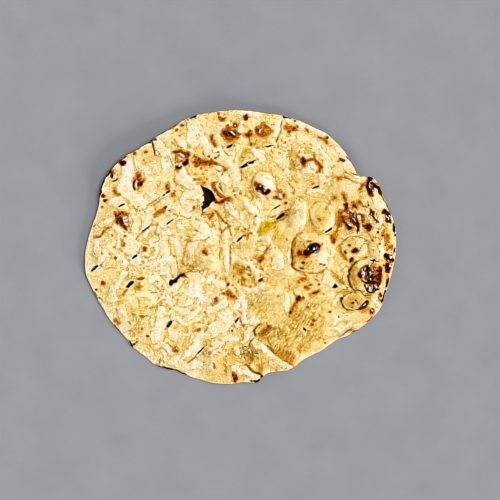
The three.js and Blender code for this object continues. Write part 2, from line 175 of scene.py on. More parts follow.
# Pale floury plates of skin that stand proud of the golden sheet: half the width, the amount, and the line
# along each.
PLATES = [
    # the west
    (2.5, 0.9, (-64, 28), (-58, 25.5)), (2.2, 0.8, (-65, 21.5), (-62.5, 19), (-62, 14), (-63.5, 10)),
    (2.2, 0.9, (-75, 11.5), (-72, 9.5), (-68.5, 7.5)), (1.5, 0.8, (-72.5, 7), (-72.3, 1.5)),
    (3, 0.9, (-67.5, 6), (-66, 2), (-66.5, -2)), (1.8, 0.9, (-62, 1.5), (-63.5, -2.5)),
    (1.5, 0.7, (-73, -7), (-69, -8)), (2.4, 0.8, (-68.5, -14.5), (-71, -18), (-72, -21)),
    (3, 0.8, (-74, -23), (-76.5, -26.5), (-77, -30)), (1.2, 0.7, (-71.5, -20.5), (-70.5, -24)),
    (2, 0.8, (-50, 1), (-49, -2.5), (-51, -5.5), (-56, -7.5)),
    (1.8, 0.9, (-56, -12), (-51, -10.5), (-47.5, -9)), (2.5, 1, (-46, 3), (-44, -3), (-43, -8)),
    (2, 1, (-41.5, -7), (-39.5, -11), (-38.5, -15)), (2.5, 0.6, (-50, 9), (-46, 6.5), (-43.5, 9)),
    (1.5, 0.9, (-36.5, 12.5), (-34, 11)), (2.5, 0.6, (-50, -17), (-52, -21)),
    (2.2, 0.8, (-53, -25.5), (-48.5, -27), (-46, -24.5)),
    (1.5, 0.9, (-42, -24.5), (-38, -23.5), (-36, -21)), (1.2, 0.6, (-49.5, 23), (-47, 23.5)),
    (1.5, 0.5, (-41, 21), (-38, 20)), (1.6, 0.6, (-84, 14), (-80, 15.5)), (3.2, 0.7, (-86, 3), (-85, -8)),
    (1.6, 0.6, (-85, -2), (-80, -2.5)),
    # the middle
    (2.5, 0.8, (-35, 27), (-30, 24.5), (-27.5, 27)), (1.8, 0.6, (-34, 21), (-31, 18.5)),
    (2.8, 1, (-26.5, 13.5), (-24, 11.5), (-20, 10)), (2.8, 0.7, (-15.5, 16.5), (-13.5, 13)),
    (1.6, 1, (-26, 6.5), (-22, 5.6), (-18, 7.6)), (1.2, 0.9, (-36, 4.5), (-31.5, 4.8)),
    (1.6, 1, (-8, 9.5), (-8, 2), (-8, -6), (-8.2, -13)), (1.8, 0.8, (-8.5, -13), (-8.5, -18)),
    (1.3, 0.9, (-18, -3), (-17.3, -4)), (3.2, 1, (-18, -19), (-14, -21), (-11, -23.5)),
    (3.2, 1, (-29, -18), (-27, -22), (-25.5, -27)), (2, 0.9, (-26, -16.5), (-23.5, -19)),
    (2.2, 1, (5, 26.5), (9, 22.5), (11.5, 18), (11, 14)),
    (1.3, 0.9, (-5.5, 21.5), (-1, 19), (1.5, 15.5), (2, 12)),
    (1.8, 0.8, (7, 10), (8.5, 7.5), (8, 4), (10.5, 4.6)), (1.2, 0.8, (-3.5, 12), (-3.8, 7)),
    (0.8, 0.8, (-4.5, 2.6), (-2.6, 4.4)), (1.4, 0.9, (-4, -6.5), (0, -8), (2, -9.5)),
    (2, 1, (5.5, -11.5), (8.5, -14), (10.5, -18), (11, -20)),
    (3.2, 0.9, (19.5, -3.5), (22.5, -6), (24, -9.5)), (1, 0.7, (19, 2), (17.5, -1)),
    (1, 0.8, (3, -17), (4.5, -18.5)), (1.6, 0.9, (-4, -21), (-1.5, -25), (0.5, -30)),
    (0.9, 0.7, (-0.5, -21.5), (1, -22)), (1, 0.8, (-6, -19.5), (-5.5, -21.5)),
    (0.9, 0.7, (20, 16.4), (21.5, 15.8)),
    # the south-west
    (2.5, 0.9, (-71, -38), (-70.5, -44), (-68.5, -49.5)), (1.2, 0.7, (-66, -49.5), (-64, -45)),
    (3.4, 0.7, (-47, -38.5), (-47.5, -44), (-48, -50), (-51, -54)),
    (1.6, 0.9, (-47, -38.5), (-43.5, -40), (-39.5, -39)), (1.8, 0.8, (-40.5, -42), (-41, -36)),
    (1.3, 0.8, (-40, -49.8), (-37.5, -48.4)), (0.8, 0.9, (-48.3, -28), (-48.5, -33), (-46.5, -37)),
    (1.8, 0.7, (-42, -29), (-42.5, -34)), (2, 0.8, (-35, -35), (-34, -31)),
    (1.5, 1, (-51, -59.5), (-47.5, -57), (-45, -59.5), (-42.5, -62.5)),
    (1.6, 0.9, (-42.5, -54.5), (-41, -57.5)), (1.8, 0.8, (-47, -63), (-45.5, -66)),
    (1.3, 0.8, (-55, -62), (-54.5, -64.5)), (4, 0.5, (-38, -68), (-33, -71)),
    (1.6, 0.5, (-63.5, -51), (-62.5, -54)),
    # the south
    (2.5, 0.7, (-35, -30), (-29, -30)), (2.5, 0.7, (-34, -33.5), (-30.5, -34)),
    (1.5, 0.8, (-23, -29.5), (-23.5, -33)), (1.3, 1, (-32, -44.5), (-28, -41), (-24, -38)),
    (2.6, 0.9, (-17.5, -37), (-13, -36), (-8.5, -34)), (1.5, 0.8, (-12, -29), (-11, -31)),
    (2.5, 0.9, (1.2, -30), (2.2, -36), (3.2, -42), (4, -45)), (2.5, 0.9, (-13, -45), (-10.5, -48.5)),
    (1.2, 0.9, (-9, -43), (-3.5, -43.8)), (2, 0.9, (-16, -49.5), (-19, -52.5)),
    (2.2, 0.9, (-23, -54), (-28, -59), (-33, -63.5)), (5, 0.6, (-28, -60), (-18, -50), (-8, -41)),
    (2, 0.9, (-12, -57.5), (-8, -55.5), (-4, -55.5)), (2.2, 0.8, (1.5, -57), (3.5, -54), (5, -50)),
    (1.6, 0.7, (8.5, -46), (10, -42)), (1.2, 0.8, (-4, -61), (-2, -63.5)),
    (1.2, 0.9, (-16.5, -65), (-15, -63)), (1.1, 0.8, (-18, -71), (-17.5, -69)),
    (0.9, 1, (-9, -70), (-7.5, -67.5)), (1, 0.9, (-5, -69), (-2, -69.6)),
    (1.5, 0.6, (-1, -74.5), (3, -75), (7, -77)), (1.2, 0.9, (10, -78), (12, -77.6)),
    (2.2, 0.6, (9.5, -57), (13, -61)), (2.6, 0.4, (20, -70), (25, -71.6), (29, -72.6)),
    (3, 0.4, (-28, -71), (-25, -69)), (2, 0.4, (27, -29), (27.5, -35), (28.5, -38.5)),
    (2, 0.8, (58, -49.5), (62, -48), (66, -46.5)), (1.5, 0.7, (56, -46), (57.5, -43)),
    (1.3, 0.8, (68.5, -48), (72.5, -46)), (0.8, 1, (64.5, -51.8), (68, -50.6)),
    # the north-west
    (2.5, 0.9, (-50.5, 63), (-47.5, 59.5), (-46, 56)), (1.8, 0.8, (-44, 58), (-42, 54), (-41.5, 50)),
    (2.5, 0.7, (-46, 52), (-45, 47.5)), (4.4, 0.9, (-67, 49), (-69, 43), (-69, 37), (-66, 32)),
    (3, 0.8, (-76, 28), (-68, 24)), (1.5, 0.8, (-64.5, 48), (-64.3, 45)),
    (1, 0.9, (-75.5, 42.5), (-75.2, 41)), (2.2, 1, (-71, 33), (-65, 31.5), (-61, 29), (-59, 26)),
    (1.6, 0.7, (-54.5, 32), (-52, 31)), (2.2, 0.9, (-36, 44), (-35.5, 39), (-33, 37)),
    (2, 0.5, (-44, 66), (-41, 64)),
    # the north
    (1.8, 0.6, (-8, 80.5), (10, 80)), (2, 0.8, (17, 78), (20, 76)), (5, 0.8, (-29, 74), (-27, 63)),
    (3, 0.6, (-38, 66), (-33, 60)), (1, 0.9, (-22.5, 68), (-19.5, 61), (-14.5, 58.6), (-10.5, 58.6)),
    (1.8, 0.8, (-20, 58), (-17.5, 54), (-14, 52.5)),
    (3.2, 1, (-11, 55), (-6.5, 52), (-3.5, 47), (-1.5, 42)), (2.2, 0.8, (-8, 44), (-4, 40), (-1, 36)),
    (2, 0.7, (-14, 48), (-10.5, 42), (-7.5, 38)), (2.4, 1, (-35, 46), (-33, 41), (-30, 37), (-25, 35)),
    (2.2, 0.8, (8, 57.5), (12.5, 55.5), (13.5, 51)), (2.6, 1, (15, 40.5), (17, 37.5)),
    (0.6, 0.8, (19.6, 40), (19.6, 35)), (2, 0.8, (22, 74), (22, 67)), (1.5, 0.8, (0.5, 74), (1, 70)),
    (3, 0.6, (-33, 31), (-27, 32)), (0.9, 1, (-24, 34.5), (-23.8, 29.5), (-24, 25)),
    (0.7, 1, (-18.5, 35.4), (-15.6, 32.6), (-14.2, 29.6)),
    # the north-east
    (1, 1, (26, 76.5), (27.5, 75.5)), (2.2, 0.7, (34, 74.5), (44, 71), (50, 68)),
    (1.6, 0.9, (60, 58), (64.5, 52.5), (67.5, 46)), (2.4, 1, (50, 55), (53, 51), (52, 46)),
    (2, 0.8, (38, 45.5), (43, 44), (46.5, 43)), (2, 0.6, (42, 50), (44, 47.5)),
    (1.5, 0.8, (47, 40), (52.5, 39.5)), (1.5, 0.6, (42, 33), (48.5, 33.5)),
    (1, 1, (69, 42.2), (73, 41.2), (76.5, 40.8)), (1.5, 0.7, (62, 50), (65, 47)),
    (2.5, 0.6, (44, 64), (48, 58)), (0.8, 0.9, (80.3, 40), (82, 37.5)),
    (2, 1, (81.5, 33.5), (83.5, 29), (86, 26)), (2, 0.9, (80.5, 29), (82.5, 24.5)),
    (1.6, 0.7, (33.5, 29), (34, 26.5)),
    # the east
    (1.5, 1, (38.8, 26), (39.3, 20), (38, 14.5)), (1.6, 0.9, (53, 25), (55, 20), (54.5, 15), (52, 11.5)),
    (4, 0.9, (50.5, -1), (52, -5), (50, -9)), (2.5, 0.8, (56, -1), (57, -6)),
    (1.5, 0.8, (60.5, 4.5), (64, 7), (68, 8.5)), (2.2, 0.8, (72.5, 3), (74, -1), (72, -5)),
    (1.6, 0.9, (84.5, 4), (85, -2), (84.5, -7)), (1.6, 0.8, (73, 21), (75.5, 20)),
    (1.5, 0.8, (72.5, 13.5), (74.5, 9.5)), (1.5, 0.7, (80, 11), (84, 12)), (2, 1, (83, 27), (86, 24)),
    (1.2, 0.7, (83.6, 18), (85, 13)), (1.2, 0.9, (60, -23.5), (64, -25.5), (66.5, -26.3)),
    (2.4, 0.8, (51.5, -16), (53, -21)), (1.8, 0.8, (61.5, -11.5), (64, -15)), (0.7, 0.7, (30, 2), (30, -8)),
    (1.5, 0.9, (80.5, -34), (82.5, -36.5)), (1.4, 0.7, (79.5, -30.5), (81.5, -32.5)),
    (1.5, 0.8, (58, -30), (57, -34)),
]
PLATE_HEIGHT = 0.36
LOOSE_PLATE_HEIGHT = 0.28

# Toasted places, where the skin is grainy and a deeper gold: middle, half sizes, turn and amount.
TOASTED = [
    # painted shade: (74, -38) and (77, -30.4), below the feet of two blisters
    (74, -38, 4, 2.4, 20, 0.7), (77, -30.4, 4, 3, 0, 0.7), (-5.4, 62.6, 5, 6, 0, 1.3),
    (-1, -25, 4, 4, 0, 0.9), (-44, 16, 4, 4, 0, 0.7), (-5, -30, 4, 4, 0, 0.6), (-63, -51, 4, 4, 0, 0.7),
    (64, 42, 4, 4, 0, 0.6), (-3.4, -45.6, 4, 4, 0, 0.7), (14.4, -52, 5, 9, -25, 1.5),
    (2, -68.6, 4, 4, 0, 1.1), (18, 62, 4, 4, 0, 0.6), (-6, 6, 6, 4, 0, 0.9), (-65, -23.6, 4, 4, 0, 0.7),
    (55, 9, 3, 3, 0, 1.6), (8, -7, 4, 4, 0, 0.8), (32, 41, 4, 4, 0, 0.7), (-40, -47, 4, 4, 0, 0.8),
    (24, -56, 13, 12, 20, 1.2), (38, -46, 20, 16, 30, 0.78), (13, -33, 14, 13, 0, 0.5),
    (-29, -10, 9, 6, -30, 0.7), (-22, -4, 12, 11, 0, 0.7), (18, 2, 13, 12, 0, 0.7), (0, -16, 8, 10, 0, 1.5),
    (6, -19, 8, 9, 0, 0.9), (44, 49, 12, 9, 0, 0.15), (6, -66, 8, 8, -20, 0.7), (26, -64, 8, 4, -40, 0.9),
    (31, 52, 5, 9, 15, 0.4), (59, 15, 3, 10, 0, 0.8), (21, -16, 13, 13, 0, 0.55),
    (-30, -72, 9, 4, -10, 0.2), (33, -2, 3, 9, 0, 1.5), (69, -17, 5, 9.6, 0, 1.5), (64, -33, 4, 5, 0, 0.9),
    (62, -4, 3, 6, 30, 0.6), (-53, -36, 6, 1.6, 4, 0.7), (4, 53, 7, 8, 0, 0.8), (-22, 45, 7, 6, 0, 0.4),
    (9, 33, 4, 8, 0, 0.5), (-38, -10, 5, 9, 0, 0.8), (20, 12, 6, 5, 20, 0.5), (70, 30, 9, 6, 0, 0.4),
    (-8, 18, 3, 9, 0, 0.6), (-12, 2, 2, 12, 0, 0.4), (75, 14, 14, 12, 0, 0.3), (67.4, -33, 8, 6, 10, 1.8),
    (36, -2, 5, 11, 0, 1.9), (66, 0, 7, 7, 0, 0.4), (47.6, 18, 6, 9, -10, 0.7), (40, -11, 8, 4, 10, 0.8),
    # painted shade on the fold of the pleat: (30, -66), (38, -60) and (10, -73)
    (88, 2, 3, 12, 0, 0.6), (42, 30, 12, 5, 0, 0.2), (-12, -66, 18, 9, 0, 0.6), (30, -66, 7, 5, -40, 1.7),
    (38, -60, 8, 5, 30, 1.6), (10, -73, 6, 4, -40, 1.8), (46, -53, 9, 6, 30, 1), (18, -70, 8, 4, -30, 0.7),
    (2, 8, 8, 8, 0, 1.2), (3, -2, 8, 7, 0, 1.1), (6, 16, 6, 7, 0, 0.9), (-7, 12, 5, 6, 0, 0.8),
    (-23, 39, 5, 5, 0, 1.3), (60, -25, 6, 5, 0, 0.8), (-13, 15, 6, 6, 0, 0.6), (-71, 25, 6, 5, 0, 0.7),
    (13, -50.5, 8, 6, 30, 1.5), (-41, 18, 7, 5, 30, 0.8), (9, -59, 7, 6, 0, 0.4), (13, 63, 8, 5, 0, 0.5),
    (69, -27, 7, 4, 0, 0.9), (30, -23, 8, 7, 0, 0.8), (12.5, -9, 7, 7, 0, 1), (-37, -17, 7, 5, 30, 0.8),
    (3, 48, 6, 5, 0, 0.8), (-63, -19, 7, 6, 0, 0.7), (64, 45, 5, 5, 0, 0.8), (21, 53, 9, 8, 0, 0.4),
    (-23, 22, 7, 6, 0, 0.4), (37, -20, 8, 6, 0, 0.6), (-11, 19, 6, 7, 0, 0.7), (56, -19, 6, 6, 0, 0.7),
    (-37, -58, 8, 7, 0, 0.7), (-31, 2, 7, 7, 0, 0.7), (-38, 66, 7, 6, 30, 0.6), (-47, 35, 6, 6, 0, 0.6),
    (59, -34, 6, 6, 0, 0.6), (1, -70, 6, 6, 0, 0.5), (50, -14, 6, 4, 0, 0.6),
]

# Slits pricked in rows so that steam can leave: middle, length, width and turn. They lean, and go right
# through.
SLITS = [
    (-56.7, 10.8, 6, 0.9, 40), (-42.4, 15.3, 5.2, 0.9, 36), (-63.3, -5.8, 4.4, 1.3, 36),
    (-87.1, -13.1, 5.6, 1.6, 45), (-66.4, -22, 6, 2.2, 46), (-42.6, -46.2, 5, 2.2, 50),
    (-23.7, -61.8, 5.8, 1.3, 46), (2.2, 49, 4.6, 1.9, 30), (6.6, 51.1, 3.6, 1.6, 10),
    (-0.4, 4.6, 4.2, 1.4, 42), (24.2, 18.3, 6.4, 1.7, 33), (52.8, 10.1, 5.4, 1.7, 35),
    (45.2, 36.3, 4.8, 0.9, 22), (-71.3, 25.6, 4.4, 1.2, 24), (-6.3, 60.4, 3.6, 1.8, 25),
    (17, 60.7, 3, 1.3, 12), (39.3, -48.3, 2.6, 1.5, -38), (-1.8, -43.7, 3.2, 1.3, 48),
    (22.3, 23.9, 4.8, 0.9, 33), (-43.2, 33, 3.4, 1.3, 30), (-45.6, 31.2, 1.8, 1.2, 30),
]
SLIT_LEAN = 0.6  # how far a slit runs to its north-west side for each millimetre that it goes down
WIDE_SLIT = 1.8  # a slit at least this wide leans less, so that the table shows in it
WIDE_SLIT_LEAN = 0.5
SLIT_SPARE = 1.15  # what rounding off its ends takes from a slit
SLIT_JAGGED = 0.09  # how ragged its edge is, as a share of its width
FIRST_SEED = 30  # for the ragged edge of the first slit
CUT_MERGE = 0.004  # points of the cut that lie closer than this, in millimetres, become one

# Tears in the upper skin, as jagged outlines, and how much of the sheet is left below them.
TEARS = [
    [
        (-23.9, 37.6), (-23.6, 36.2), (-22.7, 35), (-22.2, 33), (-21.6, 32), (-22.7, 30.8), (-21.2, 30),
        (-21.9, 29.1), (-21.2, 28.1), (-22.8, 26.8), (-21.9, 25.3), (-23.4, 24.4), (-22.6, 21.6), (-21, 23.1),
        (-18.6, 24.2), (-17.7, 26), (-16, 27.7), (-14.2, 28.1), (-15, 29.8), (-15.6, 31.5), (-16.9, 33.6),
        (-19.2, 35.2), (-22, 36),
    ],
    [(55, -24.3), (57, -24.7), (59, -24), (58.2, -23), (57.4, -21.9), (56.4, -22), (56, -23.2)],
    [
        (-42.8, -22.9), (-42.6, -20.6), (-41.6, -19.2), (-40.2, -19.8), (-38, -18.1), (-35.8, -16),
        (-33.6, -15.6), (-33.2, -17.4), (-35.8, -18), (-37.4, -19.6), (-37.8, -21.6), (-39.8, -21.6),
        (-40.8, -23.4),
    ],
]
TEAR_FLOOR = 0.8
UNDERCUT = 1.25  # how much wider a tear is below the skin

# Where the sheet is crumpled in small meandering folds, and where its skin is finely hatched: middle, half
# sizes, turn and amount.
CRUMPLED = [
    (-38, 5, 52, 42, 20, 1), (-30, -38, 46, 36, -15, 1), (0, 12, 28, 36, 30, 0.9),
    (-10, 55, 38, 22, 0, 0.7), (0, -18, 24, 24, 0, 1), (-2, -56, 24, 20, 0, 0.6), (74, 16, 20, 18, 0, 0.9),
    (30, 55, 34, 24, 0, 0.7), (-60, 40, 24, 22, 0, 0.6), (20, 30, 30, 24, 0, 0.6),
    (60, -46, 20, 10, 30, 0.5), (-76, -4, 16, 34, 0, 0.5),
]
# The hatched streaks are also painted darker in the crust's colour, as painted shade in their fine grooves.
HATCHED = [
    (24, -56, 12, 15, 20, 0.8), (34, -63, 8, 6, 30, 0.9), (5, -65, 8, 10, 0, 0.2),
    (-62, -45, 7, 9, 40, 0.5), (38, -46, 18, 15, 30, 1), (14, -33, 16, 16, 0, 0.5), (43, -38, 9, 8, 40, 1),
    (0, -15, 8, 9, 0, 0.7), (-27, -9, 12, 8, -30, 0.5), (31, 52, 6, 10, 15, 0.4),
    (20, -18, 10, 10, 0, 0.45),
]

# Scorched spots: middle, half sizes, turn, and how far the baking went, from 0, dough, to 1, black.
SPOTS = [
    # the north-west rim
    (-70.3, 50.8, 2, 1.8, 0, 1), (-76.9, 42.6, 1, 1.5, 0, 1), (-76.4, 44.6, 1.4, 1.2, 0, 0.62),
    (-63.2, 56, 1.1, 1.1, 0, 0.72), (-51, 64.6, 1.1, 0.9, 0, 0.72), (-56.3, 57, 1.3, 0.8, 20, 0.58),
    (-57.5, 52, 0.9, 0.7, 0, 0.4), (-69.3, 45.7, 0.6, 0.9, 0, 0.38), (-82.3, 31, 1.1, 1.1, 0, 0.88),
    (-81, 28, 1.2, 1.2, 0, 0.76), (-83.2, 24.2, 1.3, 1.2, 0, 0.42), (-73, 31.3, 1.4, 1.1, 0, 0.6),
    (-36, 67, 0.9, 1.1, 0, 0.42), (-34.8, 73, 1.4, 0.9, 0, 0.58), (-38.2, 70.3, 1, 0.8, 40, 0.58),
    # the spot with two lobes
    (-61, 42.8, 1.8, 2, 0, 0.56), (-60.8, 42.4, 0.8, 1.1, 0, 0.7), (-59.8, 37.8, 1.9, 2.4, 0, 0.86),
    (-61.4, 39, 3.2, 4.6, 0, 0.52), (-58, 39.4, 1.2, 1.1, 0, 0.56),
    # the north
    (-13, 80, 0.9, 1.2, 0, 0.5), (-11, 77.2, 2.8, 1.7, -20, 0.48), (-10, 76.5, 1.8, 1.2, 0, 0.62),
    (-8, 72, 1.5, 2.2, 0, 0.45), (-5.6, 75.4, 1, 1, 0, 0.38), (-12, 72.5, 1, 1, 0, 0.32),
    (-2.8, 72.8, 1.8, 1.6, 0, 0.78), (-6, 67.6, 9.2, 7, -6, 0.48), (-6.2, 67.4, 7, 4.8, -6, 0.58),
    (-7.4, 68, 3.2, 2.1, -10, 0.8), (-3.4, 69, 1.7, 1.6, 0, 0.8), (-4.8, 66.4, 3.2, 1.5, -10, 0.64),
    (-6, 64, 2.6, 1.4, 0, 0.5), (-0.6, 67.6, 1.2, 1.6, 0, 0.48), (3.8, 78, 2.7, 2.5, 0, 0.52),
    (4, 77.8, 1.5, 1.7, 0, 0.9), (2.3, 73, 0.8, 0.8, 0, 0.4), (13.4, 69.6, 7.6, 6.4, 0, 0.46),
    (11, 68.6, 2.2, 2.7, 20, 0.66), (13.5, 66.6, 2.3, 1.3, -20, 0.62), (14, 73.5, 2.5, 2, 20, 0.46),
    (17.6, 69.6, 2.6, 3, 0, 0.44), (15.6, 72, 0.9, 0.7, 0, 0.6), (5.4, 67.1, 3.2, 1.6, 0, 0.62),
    (6, 68.7, 1.2, 1.2, 0, 0.62), (6.7, 62, 1.4, 1.3, 0, 0.6), (5.6, 64.6, 0.9, 1.2, 0, 0.42),
    (-15, 53.4, 0.8, 0.8, 0, 0.76), (-26.5, 54, 1.3, 1.6, 0, 0.52), (-24.5, 52.9, 0.9, 0.9, 0, 0.76),
    (-18.8, 54.3, 0.9, 0.8, 0, 0.62), (-26, 48.8, 1.7, 1, 0, 0.52), (-14.5, 50.2, 1.4, 1, 0, 0.62),
    (-8.5, 46.6, 1.3, 1.3, 0, 0.5), (-36, 53.4, 4, 4.4, 0, 0.5), (-31, 55.4, 1.4, 1.4, 0, 0.66),
    (-32, 50.6, 1.5, 1.5, 0, 0.88), (-30.6, 44, 1.2, 1, 0, 0.42), (-27, 40.4, 2, 1, -10, 0.42),
    (-23, 47.5, 1.2, 0.9, 0, 0.4), (-22.6, 44.2, 1.2, 0.9, 20, 0.44), (-20, 46.4, 1, 0.7, 30, 0.4),
    (-24.6, 40.6, 1.8, 1.2, 20, 0.48), (-21.4, 38.6, 1.5, 1.1, 0, 0.46), (-21, 42, 1, 0.8, 0, 0.42),
    (-19.4, 40.4, 1, 0.9, 0, 0.42),
    # the north-east
    (28, 72, 1.4, 2, 0, 0.56), (32.6, 70.6, 1.5, 1.2, 20, 0.7), (31, 70.8, 4, 2.8, 0, 0.46),
    (29.5, 69, 1.4, 1.4, 0, 0.54), (34.5, 72.5, 1.2, 1, 0, 0.46), (33, 76, 0.8, 0.7, 0, 0.56),
    (40.3, 70, 1.2, 1.6, 0, 0.52), (42, 61.6, 1.1, 1.1, 0, 0.44), (38.5, 62, 1.4, 1.6, 0, 0.28),
    (52.5, 65.7, 1.1, 0.9, 0, 0.8), (48, 65.6, 1.4, 0.8, -20, 0.52), (60.5, 52.4, 1.3, 1, 0, 0.62),
    (62, 51.7, 1.2, 1, 0, 0.76), (58.3, 51.3, 1, 1, 0, 0.42), (37.8, 50.8, 2.3, 3.4, 10, 0.64),
    (37.6, 51.2, 1.4, 2.4, 0, 0.88), (46.4, 45, 0.9, 1.2, 0, 0.46), (44.3, 38.3, 1.3, 0.8, 0, 0.44),
    (46, 35.8, 1.3, 0.8, 25, 0.5), (59.4, 41.4, 1.8, 1.2, -30, 0.5), (77.6, 31.6, 1.2, 1.2, 0, 0.76),
    (79, 30.8, 1.2, 0.9, 0, 0.62), (79.6, 36.6, 1.6, 2.4, 20, 0.86),
    # the middle
    (11.2, 35.8, 3.4, 3.2, -30, 0.64), (11.2, 35.8, 2.8, 2.9, -30, 0.95), (9, 38, 1.2, 1.2, 0, 0.62),
    (0, 32, 1.1, 1.3, 0, 0.46), (-8, 28.8, 3.6, 1.8, 8, 0.56), (-40.4, 31.8, 1.8, 1.6, 30, 0.52),
    (-38.4, 33.4, 1.4, 0.7, 30, 0.34), (-43.6, 36.4, 1.6, 2.6, -20, 0.54), (-45, 35.6, 1.4, 0.7, 20, 0.38),
    (21.4, 29.8, 1.6, 1.5, 0, 0.66), (24, 33.4, 1.8, 1.3, 0, 0.5), (26.6, 31, 1.4, 2, 0, 0.58),
    (24, 28.8, 1.4, 0.9, 0, 0.56), (25.4, 18.8, 4.8, 1.9, 30, 0.4), (24, 31, 3.8, 3.4, 0, 0.38),
    (27.5, 26.3, 1.2, 0.9, 0, 0.62), (28, 4.3, 1.3, 1.3, 0, 0.44), (21, 0, 0.8, 0.7, 0, 0.42),
    (-21.5, -3, 1.6, 2.2, 10, 0.6), (-21.8, -2.8, 0.9, 1.2, 0, 0.72), (-20, -4.6, 1, 1, 0, 0.44),
    (12.2, -7.6, 2.9, 3.1, 20, 0.56), (11.8, -8.2, 1.4, 1.7, 0, 0.66), (0, -15, 1.6, 1.4, 0, 0.58),
    (-3, -12, 1.2, 1.5, 0, 0.44), (5, -12.5, 1.2, 1.4, 0, 0.48), (1.5, -18, 1.2, 1.2, 0, 0.48),
    (5.8, -16.8, 1, 1, 0, 0.5), (6, -24, 1.2, 1.2, 0, 0.42), (13.5, -13, 1.4, 1.4, 0, 0.46),
    (16.4, -16.4, 1.2, 1, 0, 0.44), (12, -16.8, 1, 1.4, 0, 0.48), (-7.3, -22.5, 0.9, 1, 0, 0.88),
    (12.2, -20.2, 1, 1, 0, 0.9), (-8.5, -19, 1.4, 0.8, 0, 0.46), (-14.3, -18.5, 0.8, 1, 0, 0.4),
    (-6.6, -28.4, 2.6, 3.2, 30, 0.54), (-4.6, -30.4, 1.8, 1.5, 0, 0.62), (-2.5, -31, 1.2, 0.9, 0, 0.48),
    (-9.7, -28, 1, 0.9, 0, 0.56), (-11.5, -28, 1.6, 0.9, 20, 0.38), (-14.2, -32, 1.2, 2.1, -25, 0.58),
    (5.7, 13, 0.5, 0.5, 0, 0.9), (3, 10.5, 0.6, 0.6, 0, 0.8), (-22, 20.8, 1.8, 1.2, -30, 0.44),
    (-19.4, 19.4, 1.4, 1.2, 0, 0.42), (-16.6, 20.4, 1.6, 1.2, 40, 0.44), (-21, 17.6, 1.2, 0.9, 0, 0.4),
    (9.5, 18.5, 0.7, 0.6, 0, 0.7), (-7.5, 26, 0.6, 0.5, 0, 0.7),
    # the west
    (-72.4, 18.4, 4.4, 4.4, 20, 0.52), (-74.4, 20.4, 1.9, 1.9, 0, 0.42), (-71.6, 16, 2.6, 3.2, 20, 0.78),
    (-68.6, 14.6, 3.4, 4.2, 20, 0.5), (-44.5, 23.5, 1.1, 1, 0, 0.86), (-42.5, 22, 0.9, 0.6, 30, 0.84),
    (-76.7, 7, 0.7, 0.9, 0, 0.46), (-69, 6.7, 0.8, 0.8, 0, 0.52), (-70.3, 1.3, 1.2, 1.3, 0, 0.52),
    (-75.6, 0.2, 1, 0.8, 0, 0.46), (-82.3, -4.3, 0.7, 1, 30, 0.42), (-74.7, -6.7, 1, 0.9, -20, 0.64),
    (-51, 9, 1, 0.8, 0, 0.44), (-52.5, 12.6, 1.2, 0.8, 30, 0.36), (-48.6, 8, 0.6, 1, 30, 0.42),
    (-57, -1.4, 1.7, 1.9, 0, 0.6), (-57.2, -1, 0.8, 1, 0, 0.72), (-58, -12.5, 1, 0.9, -30, 0.42),
    (-60, -10.6, 0.7, 0.6, 0, 0.36), (-66.6, -8, 1.2, 0.6, 20, 0.36), (-59.4, -19, 2.4, 1, 8, 0.58),
    (-61, -24.4, 1.9, 1.2, -5, 0.54), (-82.5, -22.3, 1.4, 1.6, -20, 0.64),
    (-86.3, -25.7, 0.9, 0.8, -40, 0.62), (-75.6, -40, 1, 0.9, 0, 0.36), (-64.5, -40.2, 0.6, 0.6, 0, 0.95),
    (-58.8, -41.7, 1.9, 0.9, -12, 0.5), (-56, -41, 1.2, 0.7, 10, 0.4), (-59, -49.3, 0.9, 0.7, -30, 0.52),
    (-55.5, -53.5, 1.1, 0.8, 0, 0.58), (-62, -57, 0.7, 0.7, 0, 0.76), (-63.7, -58.5, 0.9, 0.8, 0, 0.88),
    (-27.6, 23.6, 0.9, 1.3, -30, 0.5), (-39.2, 27, 0.9, 0.9, 0, 0.38),
    # the south
    (-24.8, -50, 1.5, 1.7, 20, 0.46), (-15.5, -71, 1.4, 2.4, 0, 0.46), (-38.4, -61.2, 2.8, 3, 20, 0.5),
    (-3.8, -75.2, 0.9, 1.2, 0, 0.48), (-4.8, -50.3, 0.7, 0.7, 0, 0.8), (17, -47.8, 1.2, 1, 30, 0.66),
    (16, -45.8, 1, 0.9, 0, 0.42), (13, -77.6, 0.9, 0.9, 0, 1), (23.5, -30, 1.1, 1, 0, 0.44),
    (40.5, -36, 1.1, 0.9, 0, 0.52), (54, -39, 1.1, 0.7, 0, 0.52), (44.2, -44, 1.4, 0.8, -10, 0.54),
    (43.3, -46.5, 1.2, 0.9, 0, 0.54), (46, -49.5, 0.9, 1, 0, 0.46), (40.4, -50, 0.9, 0.6, 0, 0.46),
    (59.3, -42, 0.6, 0.6, 0, 0.62), (51, -57.5, 0.7, 0.7, 0, 0.56), (35, -31, 2.2, 2.2, 20, 0.8),
    (35.4, -30.6, 1.5, 1.3, 0, 0.94), (38, -30.6, 1, 1.3, 0, 0.58), (30.3, -39.2, 1.4, 1.5, 0, 0.76),
    (30, -41.6, 1.2, 1.2, 0, 0.42), (37.6, -19.2, 2.2, 1.1, 20, 0.5), (35.4, -21, 1.6, 1.2, 30, 0.46),
    (47.3, -22.5, 0.8, 0.9, 0, 0.56), (40, -24.4, 1.8, 1.9, 0, 0.52), (42.3, -22.7, 1, 0.7, 20, 0.56),
    (39, -24, 0.9, 0.8, 0, 0.6), (45, -27.6, 3, 1.1, 24, 0.66), (42, -28.6, 1.4, 0.7, 10, 0.46),
    (50, -28, 0.9, 0.7, 0, 0.42),
    # the big blister
    (44.2, -0.9, 5.6, 4.2, 25, 1), (40.2, -3.4, 2.8, 2.2, 20, 0.9), (36, -3.8, 1.9, 2.3, 0, 0.68),
